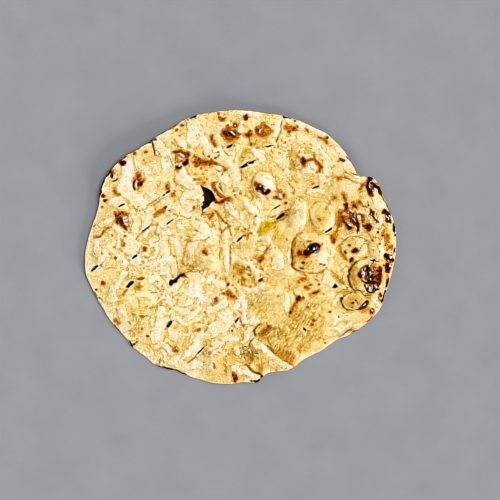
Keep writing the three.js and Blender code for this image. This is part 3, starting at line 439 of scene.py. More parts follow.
    (39, -5.6, 3.2, 1.8, 10, 0.56), (36, 2.5, 0.9, 0.8, 0, 0.42), (40.3, 3.3, 0.8, 0.9, 0, 0.5),
    (42.2, 3.3, 0.8, 0.6, 0, 0.52), (49, 1.7, 1.1, 0.7, 0, 0.48), (37.7, -9.5, 1.4, 1, 10, 0.72),
    (37, -12.8, 1.6, 0.7, -18, 0.72), (43.3, -9.2, 0.7, 0.9, 0, 0.46), (48.5, -10.3, 1, 0.7, -20, 0.5),
    (50.3, -10.8, 0.9, 0.7, 30, 0.52), (43.5, -13, 0.5, 0.5, 0, 0.8), (46, -17.5, 0.6, 0.5, 0, 0.55),
    # stains in the east; those at (76.8, -29.4) and (75, -38.4), below two blisters' feet, are painted shade
    (66, 19, 6.2, 10, 35, 0.36), (60, 17.4, 2.8, 7, 0, 0.4), (70, 26.4, 4.4, 2.4, 0, 0.33),
    (79.4, 17.4, 2.6, 5, 38, 0.34), (88.4, 3, 2.4, 8, 0, 0.38), (75, 14.6, 4.4, 4, 0, 0.28),
    (76.8, -29.4, 5, 3.2, 0, 0.32), (75, -38.4, 5, 2.8, 35, 0.3), (82.4, 36, 3, 4, 30, 0.38),
    (57, 6, 2.6, 4.4, 0, 0.38), (88, -20, 1.6, 5, 0, 0.36), (60.6, -20.6, 3, 2.4, 0, 0.34),
    # the east
    (47.2, 16.2, 2.2, 1.5, -20, 0.46), (51.4, 22.6, 1.7, 1.1, 50, 0.46), (56.6, 29.4, 1.5, 1.2, 0, 0.5),
    (53.6, 26.8, 0.7, 1.5, 0, 0.44), (56, 5, 2.2, 3.2, 0, 0.54), (56.4, 4, 1.2, 1.6, 0, 0.72),
    (65, 12.2, 1.7, 1.3, -20, 0.94), (64.6, 17, 3, 3.4, 40, 0.38), (68, 25, 1.8, 1.6, 0, 0.66),
    (67, 26.6, 1, 0.8, 0, 0.52), (69.8, 23.8, 1.2, 1.2, 0, 0.56), (71.3, 27, 0.9, 0.8, 0, 0.66),
    (76.3, 26.8, 0.5, 0.5, 0, 0.66), (76.8, 24.8, 0.7, 0.7, 0, 0.98), (78.2, 22.3, 0.9, 0.9, 0, 0.62),
    (78.8, 19.8, 1.5, 1.7, 20, 0.84), (76.8, 12.3, 2.7, 2.1, -15, 0.8), (74.3, 12.6, 1.2, 0.9, 0, 0.72),
    (77, 10.2, 1.2, 1, 0, 0.74), (86.5, 20.8, 1.5, 1.4, 0, 0.97), (82.3, 8.7, 0.8, 0.6, 0, 0.88),
    (85.1, 6.9, 0.7, 0.7, 0, 1), (83.5, 2, 0.6, 0.6, 0, 1), (82, 0.4, 0.4, 0.7, 10, 0.55),
    (83.4, -3, 0.5, 0.4, 0, 0.6), (72.2, -0.6, 0.5, 0.5, 0, 0.9), (73, 0.6, 0.4, 0.4, 0, 0.7),
    (71.6, -2, 0.4, 0.4, 0, 0.7), (79.2, 3.8, 0.8, 0.8, 0, 0.56), (80, -2, 1.2, 0.7, -30, 0.42),
    (90.4, 0, 1.6, 1.8, 0, 0.58), (86.8, 1, 0.6, 0.6, 0, 0.56), (69, -2.7, 2.1, 1.5, 0, 0.88),
    (63.2, -3, 0.8, 1.3, 25, 0.84), (65.4, 1, 1, 0.9, 0, 0.62), (67, -8, 1.2, 1.3, 0, 0.88),
    (88.5, -12.5, 1.7, 2.9, -6, 1), (86, -11, 0.7, 0.8, 0, 0.74), (78.6, -17, 6.8, 9.8, 4, 0.5),
    (77.2, -17.4, 3.6, 4.2, 20, 0.74), (82.6, -17.5, 2.2, 6.4, 4, 0.7), (81, -20.6, 2.4, 2.6, 0, 0.66),
    (84, -28.5, 1.3, 1.1, 0, 0.78), (61, -31, 0.9, 0.9, 0, 0.88), (67.4, -33.4, 1, 0.7, 20, 0.86),
    (66, -31.4, 0.5, 0.4, 0, 0.7), (69.3, -32, 0.9, 0.5, -30, 0.86), (67, -36, 0.6, 0.5, 0, 0.76),
    (65.5, -35.2, 0.5, 0.4, 0, 0.62), (69.2, -35, 0.6, 0.4, 0, 0.8), (70, -33.6, 0.4, 0.5, 0, 0.6),
    (79, -38.6, 1.6, 1.9, 0, 0.84), (73.7, -35, 2.7, 1.15, 38, 1),
]

# Scorched lines: half the width, how far the baking went, and the line.
# The dark foot lines on the west and south of the blisters are also painted shade, and the pleat's wide band
# is painted shade only.
STROKES = [
    # the burnt rim
    (0.9, 1, (-84.6, 31), (-83.8, 35), (-81.8, 39.6), (-79, 43.6), (-76, 47.8), (-73, 51)),
    (0.5, 0.92, (-73, 51.4), (-68.6, 54.6)), (0.6, 0.86, (-66.4, 56.4), (-61, 59)),
    (0.8, 1, (-57.4, 60.9), (-53, 64)), (0.7, 0.8, (-46, 68.4), (-40, 72), (-37.5, 74)),
    (0.9, 1, (-29, 78), (-26.4, 79)), (0.6, 0.6, (-32, 76.4), (-29.4, 77.4)),
    (0.7, 1, (26.6, 78), (29.6, 77.6)), (0.5, 0.8, (64.2, 54.4), (65.6, 52.4)),
    (0.5, 0.88, (67.6, 43.6), (70, 43), (72.8, 42.3)), (0.9, 1, (77.6, 41.6), (79.4, 41)),
    (0.45, 0.8, (84, 32.8), (87, 26.4), (89.6, 21)), (0.8, 1, (91.4, 14), (92.4, 10), (93, 6.6)),
    (0.7, 1, (92.8, -1), (92.4, -3.4)), (0.9, 0.98, (88.4, -19.6), (87.8, -23.6)),
    (0.8, 0.98, (87.2, -26.4), (86.2, -30), (85.4, -33)), (0.6, 0.86, (79, -42), (76, -44.4)),
    (0.6, 0.84, (62, -53.2), (63.6, -51.5), (65, -50.1), (67.6, -49.6)),
    (0.4, 0.9, (66.6, -51.8), (68, -51), (70, -49.8)), (0.8, 0.55, (59, -54.6), (61.6, -53.4)),
    (0.9, 1, (6.6, -80.2), (10.4, -80.4), (12.6, -79)),
    (0.8, 1, (-50.4, -70.8), (-47, -72.4), (-40.4, -73.8)),
    (0.8, 1, (-39, -74.2), (-36, -75.4), (-32.6, -76.6)), (0.9, 1, (-66.4, -56.8), (-64.8, -59.4)),
    (0.6, 0.95, (-74.6, -47.6), (-73, -49.8)), (0.7, 0.72, (-84.6, -30.8), (-82.4, -32.5)),
    (0.5, 0.6, (-87.6, -27), (-85.4, -31)), (0.4, 0.5, (-24, 79.4), (-16, 80.8)),
    # the north-west
    (0.7, 0.92, (-63.4, 39.2), (-63.6, 36.8), (-62.8, 34.9)),
    (0.6, 0.9, (-76.2, 39.5), (-75, 40), (-74, 41)), (0.5, 0.95, (-52.8, 63), (-52.2, 59.5), (-51, 56.4)),
    (0.5, 0.6, (-50.4, 54.8), (-49, 54.6), (-48.4, 56), (-49.4, 57.2)),
    (1, 0.52, (-75.2, 34), (-74.6, 32.2), (-72.8, 31.2)), (0.9, 0.62, (-41.8, 53), (-41, 51), (-40.3, 49)),
    (0.7, 0.4, (-39, 42), (-39.5, 39.4), (-38.5, 37.6)),
    (0.7, 0.45, (-40.6, 62.2), (-38, 60.6), (-36, 59.6)),
    (0.95, 0.68, (-40, 56.8), (-38, 57), (-35.6, 57.4), (-33, 55.6), (-32, 53.8)),
    (0.45, 0.62, (-38.7, 56), (-38.9, 53), (-38.6, 50.4)),
    (1, 0.94, (-31.9, 51.6), (-33, 49.6), (-34.6, 49.2), (-37.2, 48)),
    (0.8, 0.52, (-39, 45.6), (-37.4, 47)), (2.6, 0.54, (-26, 51), (-22, 50.6), (-17, 50.4)),
    (0.5, 0.6, (-24, 51.4), (-18, 50.8)), (0.8, 0.56, (-22.6, 57), (-22, 54.4)),
    (0.7, 0.5, (-13.4, 49.2), (-9.6, 48.5)),
    (0.7, 0.64, (-14.6, 56.6), (-13, 57), (-12.7, 55), (-14.2, 54)),
    (1.1, 0.56, (-17, 66), (-16.3, 64), (-15.3, 61.6)), (0.4, 0.64, (-14, 46), (-12.6, 45)),
    (0.45, 0.78, (-11.4, 44.8), (-11.2, 43.2)), (0.6, 1, (-6.2, 67.8), (-4.6, 67)),
    (0.5, 1, (0.6, 47.8), (1.8, 48.2)), (0.4, 1, (4.4, 50.8), (5.2, 51.7)),
    (0.45, 1, (7.6, 51.2), (8.8, 51.8)), (0.4, 0.95, (3.4, 48.8), (4.3, 48.2)),
    (0.4, 1, (-8.2, 59.5), (-7, 59.8)), (0.35, 1, (-5, 61.4), (-4, 61.2)),
    (0.35, 0.95, (14.2, 60), (15.2, 60.2)), (0.35, 0.95, (18, 60.8), (19.2, 61)),
    # beside the torn hole
    (1.3, 0.56, (-16.6, 37.6), (-14.6, 33.6), (-11.4, 30.4)),
    (0.8, 0.64, (-16, 38.6), (-13, 38.8), (-11.5, 36.6), (-10.4, 33.6)),
    (0.35, 0.95, (-12.6, 35.6), (-10, 32.4)),
    (1, 0.74, (-15, 28), (-13.4, 26.5), (-11.5, 26.3), (-10.5, 27.6)),
    (0.7, 0.5, (-3.8, 34.6), (-3, 31.6), (-2.5, 30.4)), (0.5, 0.38, (9.3, 44.6), (8, 41.4)),
    (0.6, 0.42, (0.5, 42), (0, 39.5)), (0.9, 0.44, (-9.5, 26), (-9, 20), (-8, 16)),
    (0.6, 0.44, (-4.5, 26), (-3, 22.5)), (0.6, 0.42, (4.3, 31), (6, 28)),
    (0.6, 0.74, (-22.5, 21), (-23, 18.5)), (0.45, 0.62, (-21, 19.4), (-19.5, 18.4)),
    (1, 0.56, (-16.5, 20.6), (-17.6, 17.4)), (0.6, 0.52, (-26.8, 16), (-25.4, 17.4)),
    (0.5, 0.6, (-15, 22), (-13, 19), (-10, 15.5), (-6.6, 12.6)),
    (0.6, 0.56, (-7, 12), (-10, 9.5), (-13, 7)),
    (0.45, 0.42, (-12.8, 7), (-12.4, 3), (-11.6, 0), (-12.4, -4), (-11.8, -8)),
    (0.6, 0.48, (-35.5, 13.5), (-37, 13), (-37.8, 11), (-37, 9.6)),
    (0.45, 0.44, (-18, 6), (-22, 3.4), (-26, 4), (-28, 2.6), (-31, 4)),
    (0.9, 0.34, (-31, 4), (-34, -4), (-35, -11)),
    (0.45, 0.52, (-4, 2.4), (-6, 0.4), (-5.6, -3), (-6.2, -7), (-5.6, -12)),
    (0.8, 0.6, (1.6, 7), (3, 7.4), (4.2, 6.4)), (0.5, 0.64, (-4.8, 1.4), (-3.4, 3), (-2, 3.4)),
    (0.45, 0.52, (1.6, 6.4), (4.4, 8), (7.4, 8.4)), (0.6, 0.72, (-34, -17), (-32.4, -17.8)),
    (0.45, 0.6, (-34, -16.4), (-30, -14.6), (-25, -15.2), (-22, -14)),
    (0.5, 0.5, (-4.6, -10), (-3, -14), (-3.6, -18)), (0.5, 0.5, (-1, -10), (2, -13), (6, -13)),
    (0.5, 0.5, (-2, -20), (0, -22.6), (3, -23)), (1, 0.48, (13.4, -5.8), (15.2, -4), (16.6, -0.6)),
    # the pricked slits' browned ends
    (0.45, 0.62, (-54, 25.6), (-50, 28.6), (-47, 30.6)),
    (0.45, 0.6, (-52, 25.2), (-48, 27.6), (-44.5, 30.4)), (0.5, 0.56, (-62.6, 5.2), (-59.5, 8.4)),
    (0.4, 0.6, (-58.6, 8), (-55, 11.4), (-53.6, 13.4)), (0.5, 0.44, (-40, 16.6), (-38, 17.6)),
    (0.6, 0.52, (-60.4, -3.8), (-58, -2.4)), (0.5, 0.4, (-84.6, -11), (-82, -9.2)),
    (0.6, 0.44, (-21.8, -59.8), (-20.6, -58.8)), (0.5, 0.48, (-31, -69.4), (-27.5, -66.6), (-26, -64)),
    (0.6, 0.56, (19, 17.4), (24, 20.2), (29, 22.4)), (0.7, 0.62, (21, 14.8), (25, 16.4), (29, 19.4)),
    (0.7, 0.62, (28.8, 19.6), (29, 22)), (0.5, 0.62, (55, 11.6), (57, 13.6)),
    (0.45, 0.5, (41, 35), (43.4, 35.8)), (0.5, 0.72, (19.6, 22), (20.4, 22.8)),
    (0.6, 0.5, (-40, -44.6), (-38.8, -43.8)), (0.7, 0.42, (-45, -49), (-44, -48.4)),
    # the north-east
    (0.42, 0.74, (25, 74.8), (24.3, 73), (24.5, 69.5), (23, 66), (21.5, 63)),
    (0.6, 0.46, (21.4, 62.4), (23.6, 60), (21, 59.4)), (0.5, 0.44, (19, 59.6), (18.8, 57.6), (20, 56.4)),
    (1, 0.54, (50.5, 64.8), (51.6, 62)), (0.6, 0.44, (51, 60), (54.6, 60.6)),
    (0.5, 0.32, (51.4, 59), (52.6, 57.4)), (0.7, 0.5, (61, 43), (62.6, 44.2), (64.6, 43.4)),
    (0.8, 0.56, (60.6, 42), (64, 41), (66, 40), (68, 38.7)),
    (0.5, 0.52, (68, 38.7), (71, 38), (75.4, 38.4)), (1.1, 0.58, (71.3, 34), (73, 36.5), (75.4, 37)),
    (1.4, 0.96, (77.6, 40.4), (77, 37.6), (76.6, 35.4), (77.6, 33)),
    (1.1, 1, (78.4, 39.4), (80, 36.6), (82, 34.9), (84, 32.6)),
    (1, 0.5, (39.4, 51.4), (42, 52.6), (44.4, 52.6)), (0.95, 0.44, (44.3, 55.4), (44.6, 53)),
    (1, 0.6, (45, 51.6), (47, 49.6), (48, 47.4), (47.6, 45.4)),
    (0.8, 0.5, (29.3, 38), (31, 36), (32.5, 34.5), (32, 32.4)), (0.7, 0.42, (21.3, 41.6), (21.7, 39)),
    (0.6, 0.34, (31, 58), (29, 52), (32, 48), (34, 44)),
    # the char on the small blister
    (1, 1, (13, 33.4), (15, 32.6), (17.2, 33.6)),
    # the east
    (1, 0.5, (61.5, 32), (62.7, 29), (63.2, 26.8)), (0.7, 0.52, (58.6, 12), (58, 8)),
    (1.05, 0.84, (62.6, 25), (64, 22), (66.4, 19.6), (69, 16.6), (70.6, 13.6), (70.3, 10.6)),
    (1.1, 0.66, (61.8, 18.4), (62.6, 15), (64, 12.6), (66, 11.8)), (2.2, 0.48, (59.8, 21), (59.6, 13)),
    (0.7, 0.54, (71.5, 27), (73, 25), (75.5, 23.8), (77, 23.5)),
    (0.6, 0.84, (70, 19.4), (71.6, 19.6), (72.6, 18)), (1, 0.6, (73, 18), (73.8, 15.4)),
    (0.9, 0.86, (78, 20.6), (79, 18.6), (81, 16.6), (82.6, 14.4)), (0.6, 0.5, (81.8, 21), (81.8, 19)),
    (1.3, 1, (88.4, 19.6), (88.8, 15.8)), (1.1, 0.54, (87.6, 7), (88.6, 3.4)),
    (1, 0.42, (86, 10), (87, 4), (88, -2)),
    (0.5, 0.55, (60, 1.4), (62.6, 4.2), (66, 6), (69, 6.6), (72, 5.8), (76, 4)),
    (0.5, 0.42, (76, 4), (76.8, -1)), (0.7, 0.3, (79, 6.4), (82, 6), (84, 4)),
    (1.6, 0.36, (59.4, 1), (60, -3), (63, -7)), (1, 1, (87.2, -5.4), (88.4, -7.2), (91, -8.6)),
    (0.6, 1, (88.6, -5), (90.6, -5), (91.6, -7.4)), (1.1, 0.82, (62.8, 25.2), (64.2, 22), (67, 19)),
    (1.4, 0.76, (66.4, 16.8), (68.6, 14.6), (70, 11.4)),
    # round the big blister: its foot line, partly painted shade, and a band of painted shade on its west
    # flank
    (0.6, 0.58, (34, 7.4), (31.6, 3.6), (30.8, 0)), (0.8, 0.8, (30.8, 0), (31, -7), (31.8, -12)),
    (0.6, 0.62, (31.8, -12), (34, -14.3), (38, -15.3)), (1.8, 0.36, (32.8, 5), (32.4, -3), (32.8, -10)),
    (0.5, 0.44, (38, -15.3), (43, -15.6), (47.6, -15.4), (50.4, -13.4)),
    (0.45, 0.88, (37.9, 1.4), (38.6, 0.4)), (0.6, 0.44, (50.5, -14.5), (52, -12.8), (53.6, -14.6)),
    (0.5, 0.42, (35, -16.2), (40, -16.8)),
    # the cracked black crust, and its foot, whose dark lines on the west and south are partly painted shade
    (0.9, 0.82, (70, -9), (67.5, -10.5), (66, -14), (65, -19), (65.5, -22.5), (68, -26)),
    (0.6, 0.6, (70, -9), (73, -7), (76.4, -6.2)), (0.6, 0.56, (68, -26), (73, -26.8)),
    (1.8, 0.3, (68.4, -12), (67.4, -18), (68.4, -23)),
    (1.3, 0.98, (76.6, -11.8), (73.4, -14.2), (71.6, -17.4)),
    (0.7, 1, (80.4, -7.6), (79.4, -9.6), (76.4, -11.4)),
    (0.5, 0.95, (78.4, -7.6), (80.4, -8.4), (82.2, -8.6)),
    (1.5, 0.97, (76.4, -13.4), (77.6, -17), (77.4, -20.4)), (0.7, 0.98, (74.4, -16.8), (76.4, -15.6)),
    (1, 0.78, (83.4, -12.6), (84, -17), (83, -22)), (0.9, 0.92, (78.4, -18.6), (81, -17.6), (83.4, -16.4)),
    (0.8, 0.98, (76.8, -20.4), (74.4, -21.6), (74.6, -24)),
    (0.7, 1, (74.6, -24), (76.8, -26.6), (79.6, -27.2), (82, -25.4), (82.8, -22.8)),
    (0.55, 0.95, (77.2, -20.4), (77.8, -22.4)), (0.5, 1, (76.6, -24), (77.2, -26.2)),
    (0.6, 1, (79.4, -21), (80.2, -23.4), (79, -25)), (0.6, 1, (78.6, -26.6), (80.6, -25.2)),
    (0.6, 0.95, (77.4, -20.8), (80, -20.4), (82.6, -21.6)), (0.6, 0.9, (72.4, -19.6), (74.6, -21.4)),
    (0.5, 1, (82.2, -25.8), (83.6, -25.4), (83, -24.2)), (0.8, 0.7, (83, -30.4), (84, -32.6)),
    (0.5, 0.72, (70, -25.6), (74, -28.4), (78.6, -29.4)),
    # the rim blister, whose dark foot line on the west and south is partly painted shade
    (0.8, 0.84, (61, -30.4), (60.6, -33), (62, -36), (64, -37.8), (68, -38), (71, -37.2)),
    (0.5, 0.54, (61, -30), (64, -28), (67, -26.8)), (0.9, 1, (71.4, -37), (73.4, -34.2), (75.6, -32.4)),
    (0.9, 0.8, (76.2, -33), (74.6, -36)), (0.9, 0.52, (58, -19), (61, -20.6), (62.6, -22.6)),
    (0.6, 0.5, (62, -17), (61, -20)), (0.7, 0.52, (62.4, -22.4), (64, -24.4)),
    (0.8, 0.4, (57.6, -17), (60, -18.4)),
    # the west
    (1.3, 0.5, (-67.6, 19.6), (-70, 20.2), (-73, 19)), (1.7, 0.72, (-74, 18), (-73, 14.6)),
    (1.3, 0.78, (-72, 16.4), (-71, 13.4), (-69, 11.6)), (0.6, 0.84, (-70.2, 12.2), (-67.5, 10.4)),
    (0.45, 0.34, (-65.5, 19), (-64.5, 15), (-65, 11), (-66, 9)), (0.7, 0.4, (-67, 25), (-65.4, 23)),
    (0.7, 0.44, (-58, 21.6), (-56, 20.2)), (1, 0.5, (-51, 19), (-49, 20.5), (-46.4, 21.6), (-45, 22.8)),
    (0.6, 0.78, (-88, 12), (-87, 14)),
    (0.96, 0.45, (-87.5, 6.3), (-85, 6.3), (-83, 7.5), (-81.5, 9.8), (-79.5, 11.2), (-77.3, 11.8)),
    (0.6, 0.42, (-70.5, 5), (-70.3, 2)), (0.5, 0.38, (-60, 0.4), (-57, 2.4), (-53.6, 0.6), (-53, -3)),
    (0.6, 0.52, (-67.5, -12), (-66.8, -15)), (1, 0.44, (-68.3, -26), (-69.6, -28.4)),
    (1.1, 0.52, (-74.8, -43.5), (-72.5, -45.8)), (0.45, 0.36, (-64.6, -43.4), (-62.4, -45)),
    (0.45, 0.38, (-62, -43.4), (-61, -47)), (0.45, 0.36, (-63.6, -48.6), (-61, -45.4)),
    (0.45, 0.44, (-66, -50), (-63.4, -47)), (0.5, 0.42, (-46, -23.4), (-44.6, -25), (-46.6, -27)),
    (0.5, 0.84, (-39.2, -62.8), (-38.4, -61.6), (-37.4, -62.6)), (0.5, 0.42, (-36.8, -64.6), (-35.8, -66)),
    (0.6, 0.56, (-48, -67.5), (-49, -69.8)), (0.6, 0.42, (-46.6, -68.8), (-45, -70)),
    # the pleat in the south; the wide band from (22, -62.5) to (32, -69.5) is painted shade beside its crease
    (1, 0.7, (-3.6, -76.6), (-2.2, -78.8), (-2.6, -80.6)),
    (0.45, 0.66, (14, -58), (18, -61), (22, -65), (26, -68), (30, -70.5), (33, -71.8)),
    (0.7, 0.8, (5, -71.6), (9, -75), (13.4, -76.8)), (2.4, 0.34, (22, -62.5), (27, -66), (32, -69.5)),
    (0.45, 0.6, (20, -61.5), (22, -58.5)), (0.4, 0.56, (22, -63.5), (24.4, -60)),
    (0.45, 0.62, (24, -65), (26.6, -61.4)), (0.4, 0.58, (26, -66.4), (28.6, -62.8)),
    (0.45, 0.6, (28, -67.6), (30.4, -64)), (0.4, 0.56, (30, -69), (32.2, -66)),
    (0.5, 0.9, (11.5, -46.5), (8, -50)), (0.5, 0.88, (9, -50), (9.3, -53)),
    (0.45, 0.74, (8, -55), (6.3, -57), (5.8, -58.8)), (0.45, 0.64, (3, -59.4), (5.6, -59.7)),
    (0.5, 0.48, (7, -60), (7.3, -64), (7, -69)), (0.4, 0.4, (8.6, -60), (8.8, -69)),
    (0.45, 0.6, (0, -61.4), (0.6, -66)), (0.45, 0.66, (1.6, -60.4), (2.4, -65.4), (3.4, -69)),
    (0.45, 0.64, (3.4, -60.6), (4.4, -66), (6, -71)), (0.45, 0.68, (5, -60.6), (5.6, -65), (7, -70)),
    (0.45, 0.6, (9.4, -61.6), (9.8, -66)), (0.45, 0.6, (10.6, -62.6), (10.8, -67)),
    (2.6, 0.26, (12.8, -51.8), (17.4, -48.8)), (0.45, 0.7, (11.4, -52), (15, -50.4), (17.6, -48)),
    (0.45, 0.68, (12.4, -53), (16, -51), (19, -48.6)), (0.4, 0.55, (12, -50.6), (15, -48.6)),
    (0.4, 0.56, (14, -53.6), (18, -51), (20, -49.4)), (0.6, 0.5, (22, -46), (24, -48.4), (24.6, -51)),
    (0.6, 0.96, (-2.8, -45), (-0.7, -42.8)), (0.6, 0.56, (-3.6, -47), (-2, -48.6)),
    (0.7, 0.48, (0, -45), (2, -47.6)), (0.45, 0.52, (-3, -39), (-1, -41.6)),
    (0.9, 0.94, (11.4, -20.6), (13, -19.4)), (1, 0.54, (34, -33), (32.4, -36), (30.6, -39)),
    (0.6, 0.62, (32.8, -28.8), (34.4, -30.4)), (0.6, 0.5, (31.4, -26.4), (33, -24)),
    (0.5, 0.4, (29, -22), (29.4, -25.6)), (0.7, 0.52, (44, -18.7), (47, -20)),
    (0.6, 0.46, (12, -69.6), (13.6, -71.6)), (0.9, 0.3, (-8, -68), (-9, -72), (-8, -77)),
]

# White flakes of ash and bared crumb in the char, partly painted highlights: half the width and the line.
FLAKES_AND_HIGHLIGHTS = [
    (0.8, (-61.9, 39.2), (-62.4, 37.6), (-62, 35.8)), (0.6, (-75.4, 42.2), (-75.2, 41.4)),
    (0.6, (-50, 55.6), (-49.4, 55.2)), (0.5, (-5.6, 69.4), (-3.3, 67.4)), (0.6, (-3, 73), (-2.6, 72.6)),
    (0.7, (11.6, 69), (12.4, 70.2)), (0.9, (-36.6, 53.6), (-35.8, 53)), (0.7, (-36, 56), (-34, 54.6)),
    (0.5, (-34.8, 49.6), (-34.1, 47.4)), (0.5, (-36.6, 48.8), (-35.6, 50.6)),
    (0.5, (-14.4, 37), (-12, 34), (-10.8, 32.2)), (0.4, (14.2, 33.8), (15, 33.6)),
    (0.3, (12, 36.6), (12.4, 36.2)), (0.9, (24.4, 31.4), (24.8, 30.2)), (0.8, (-70, 17.4), (-68.6, 18)),
    (0.9, (-69.4, 15.8), (-67.6, 16.2)), (0.9, (-68.8, 14.2), (-67.4, 13.2)),
    (0.5, (-66.6, 17.6), (-66, 15.6)), (0.5, (-43.8, 23), (-43, 22.6)), (0.35, (40.6, -2.2), (41.2, -0.8)),
    (0.35, (46.6, -2.2), (45.4, -3.2)), (0.8, (71, 18), (71.2, 17.6)), (0.7, (65.2, 13.4), (66.4, 12.8)),
    (0.5, (81.6, 14.4), (82.2, 13)), (0.5, (65.6, 22.2), (67.6, 20.8)), (0.4, (68.4, 19), (68.9, 18.2)),
    (0.45, (69, 12.6), (69.8, 10.8)), (0.45, (80.8, 18.2), (81.6, 17)), (0.6, (89.2, 19), (89.6, 18.4)),
    (0.5, (88.4, 17.6), (88.8, 17)), (0.6, (80.6, 35), (82, 33.8)), (0.5, (79.6, 39.6), (80.4, 38.4)),
    (0.8, (90, -6.4), (90.6, -6.2)), (0.5, (89.8, -10.6), (90, -12)),
    (0.6, (73.6, -14.6), (74.6, -15.6), (74.4, -16.6)), (0.4, (72.6, -17.2), (74.6, -18)),
    (0.4, (77, -11.6), (78.8, -10)), (0.4, (75, -22.4), (75.4, -23.6)), (0.4, (77.6, -23.6), (78.2, -24.8)),
    (0.35, (80.8, -23), (81.4, -24)), (0.45, (74.4, -34.8), (75.2, -33.6)), (0.7, (68.8, -34), (69.4, -35)),
    (0.5, (79, -37.8), (79.6, -38.6)), (0.4, (-38.4, -60.8), (-38, -60.4)),
    (0.6, (-17, -65.2), (-16.2, -66.6)), (0.5, (78.8, 37), (79.2, 36.4)),
    (0.4, (82.6, -24.9), (82.9, -24.7)),
]

# Char that cracked and flakes, with painted highlights as pale glints: middle, half sizes, turn and amount.
CRACKED = [
    (74.8, -15, 4.4, 4.6, 30, 0.85), (78.4, -22.8, 5.6, 4.8, 0, 0.9), (79, -16, 6, 8.6, 0, 0.58),
    (66.6, 17.6, 3.4, 9.6, 35, 0.6), (80, 17.2, 2.6, 5, 35, 0.6), (44.2, -1.2, 4.4, 3.4, 15, 0.6),
    (73.6, -34.8, 2.4, 3.2, -40, 0.6), (88.8, -9, 2.4, 5.4, 0, 0.8), (79.6, 36.6, 4, 4, 0, 0.7),
    (88, 17.6, 2, 3.4, 0, 0.7), (-6, 68, 5, 3, 0, 0.5), (-35.6, 53, 5, 5.4, 0, 0.6),
    (-71.4, 15.6, 3.4, 4, 0, 0.5), (12, 35, 4.4, 4, 0, 0.3), (-61.4, 38.6, 3.6, 4, 0, 0.4),
    (67.6, -34, 2.6, 2, 0, 0.5),
]

# Dry flour left on the skin: middle, half sizes, turn and amount.
FLOURED = [
    (43, 29, 6, 6, 0, 0.6), (-17, -22, 5, 5, 0, 1.3), (33, -52, 7, 9, 30, 0.4), (-22, -50, 5, 5, 0, 0.6),
    (-16, -36, 5, 5, 0, 1.1), (53, -52, 6, 5, 30, 0.5), (62, -49, 5, 4, 30, 0.6), (-7, -56, 5, 5, 0, 0.6),
    (-73, 39, 13, 18, 0, 1.4), (-85, -2, 11, 17, 0, 0.9), (-20, -32, 11, 10, 0, 0.8),
    (-25, -23, 9, 9, 0, 1), (-59, 25, 8, 7, 0, 1.5), (47, 44, 8, 8, 0, 0.9), (-51, -25, 9, 8, 0, 0.9),
    (-14, -6, 5, 10, 0, 1.4), (54, -4, 7, 8, 0, 1), (22, -14, 9, 9, 0, 0.7), (-43, -35, 7, 7, 0, 0.9),
    (-14, 48, 6, 5, 0, 1.1), (79, -1, 5, 7, 0, 0.5), (41, 67, 9, 6, -20, 0.7), (-22, 73, 8, 6, 20, 0.6),
    (-48, 50, 6, 7, 0, 0.6), (73, 7, 5, 4, 0, 0.8), (-22, -69, 8, 6, 0, 0.8), (-25, -74, 7, 4, 0, 0.6),
    (-10, -14, 5, 6, 0, 0.9),
]

# Butter that soaked in: middle, half sizes, turn and amount.
BUTTER = [
    (15.4, 12, 6.4, 5, 35, 1), (13, 9.4, 4, 3.4, 0, 1), (20, 14.6, 5, 3, 30, 0.8), (21, 10, 5, 4, 0, 0.35),
    (61.6, -4.6, 5, 2.2, -48, 1), (34, 2, 2.4, 6, 15, 0.3), (-53, -36, 4, 1.4, 4, 0.4),
    (30, 62, 6, 3, 20, 0.3),
]

# How scorched marks are drawn. Baking goes from 0, dough, to 1, black. Here and below, a pair of levels says
# where something begins and where it is full.
MARK_CORE = 0.6  # the share of a mark that is baked all the way
MARK_SLOPE = 0.7  # how much less is baked for each millimetre outside that
BROWN = 0.5  # a mark baked at least this far has a golden halo round it
HALO = 0.4
HALO_SLOPE = 0.16
THREAD = 0.95  # a scorched line with less than this half width is a thread, drawn thin and broken
SPECK = 1.05  # a brown spot with less than this half width is a speck, drawn with a crisp edge
SPECK_HALO = 0.28
MARK_FADE = 0.7  # the dark of a thread or a speck fades out over this many millimetres
THREAD_REACH = 2.4  # and is gone this many times as far from it
SPECK_REACH = 2.2
FARTHEST = 3.0  # no place counts as farther from a thread or a speck than this many half widths
OVAL_CORE = 0.45  # the share of a soft oval that has its full amount
FLAKE_EDGE = (0.35, 1.15)  # a flake is full up to the first, in half widths, and ends at the second
LOOSE_PALENESS = 0.85
WEST_SHADE_GAIN = 1.6  # how soon a slope that faces west, away from the key lamp, counts as shaded and gets painted shade
WEST_SHADE_INLAND = (2.0, 12.0)  # in from the edge
FACES_OUT = (-0.35, 0.05)  # of a normal's rise, for marks on the upper face

# Pale plates. The first three give the least share, and how much more there can be.
PLATE_BREADTH = (0.6, 0.9)
PLATE_STRENGTH = (0.55, 0.6)
PLATE_AMOUNT = (0.55, 0.45)
PLATE_FADE = 1.5  # a plate ends this many half widths from its line
LOOSE_EDGE = 0.38  # the level of the noise where loose plates begin
LOOSE_SLOPE = 0.3  # how much higher it is where they are full
LOOSE_ROOM = (0.1, 0.5)  # of a placed plate, for loose ones to give way

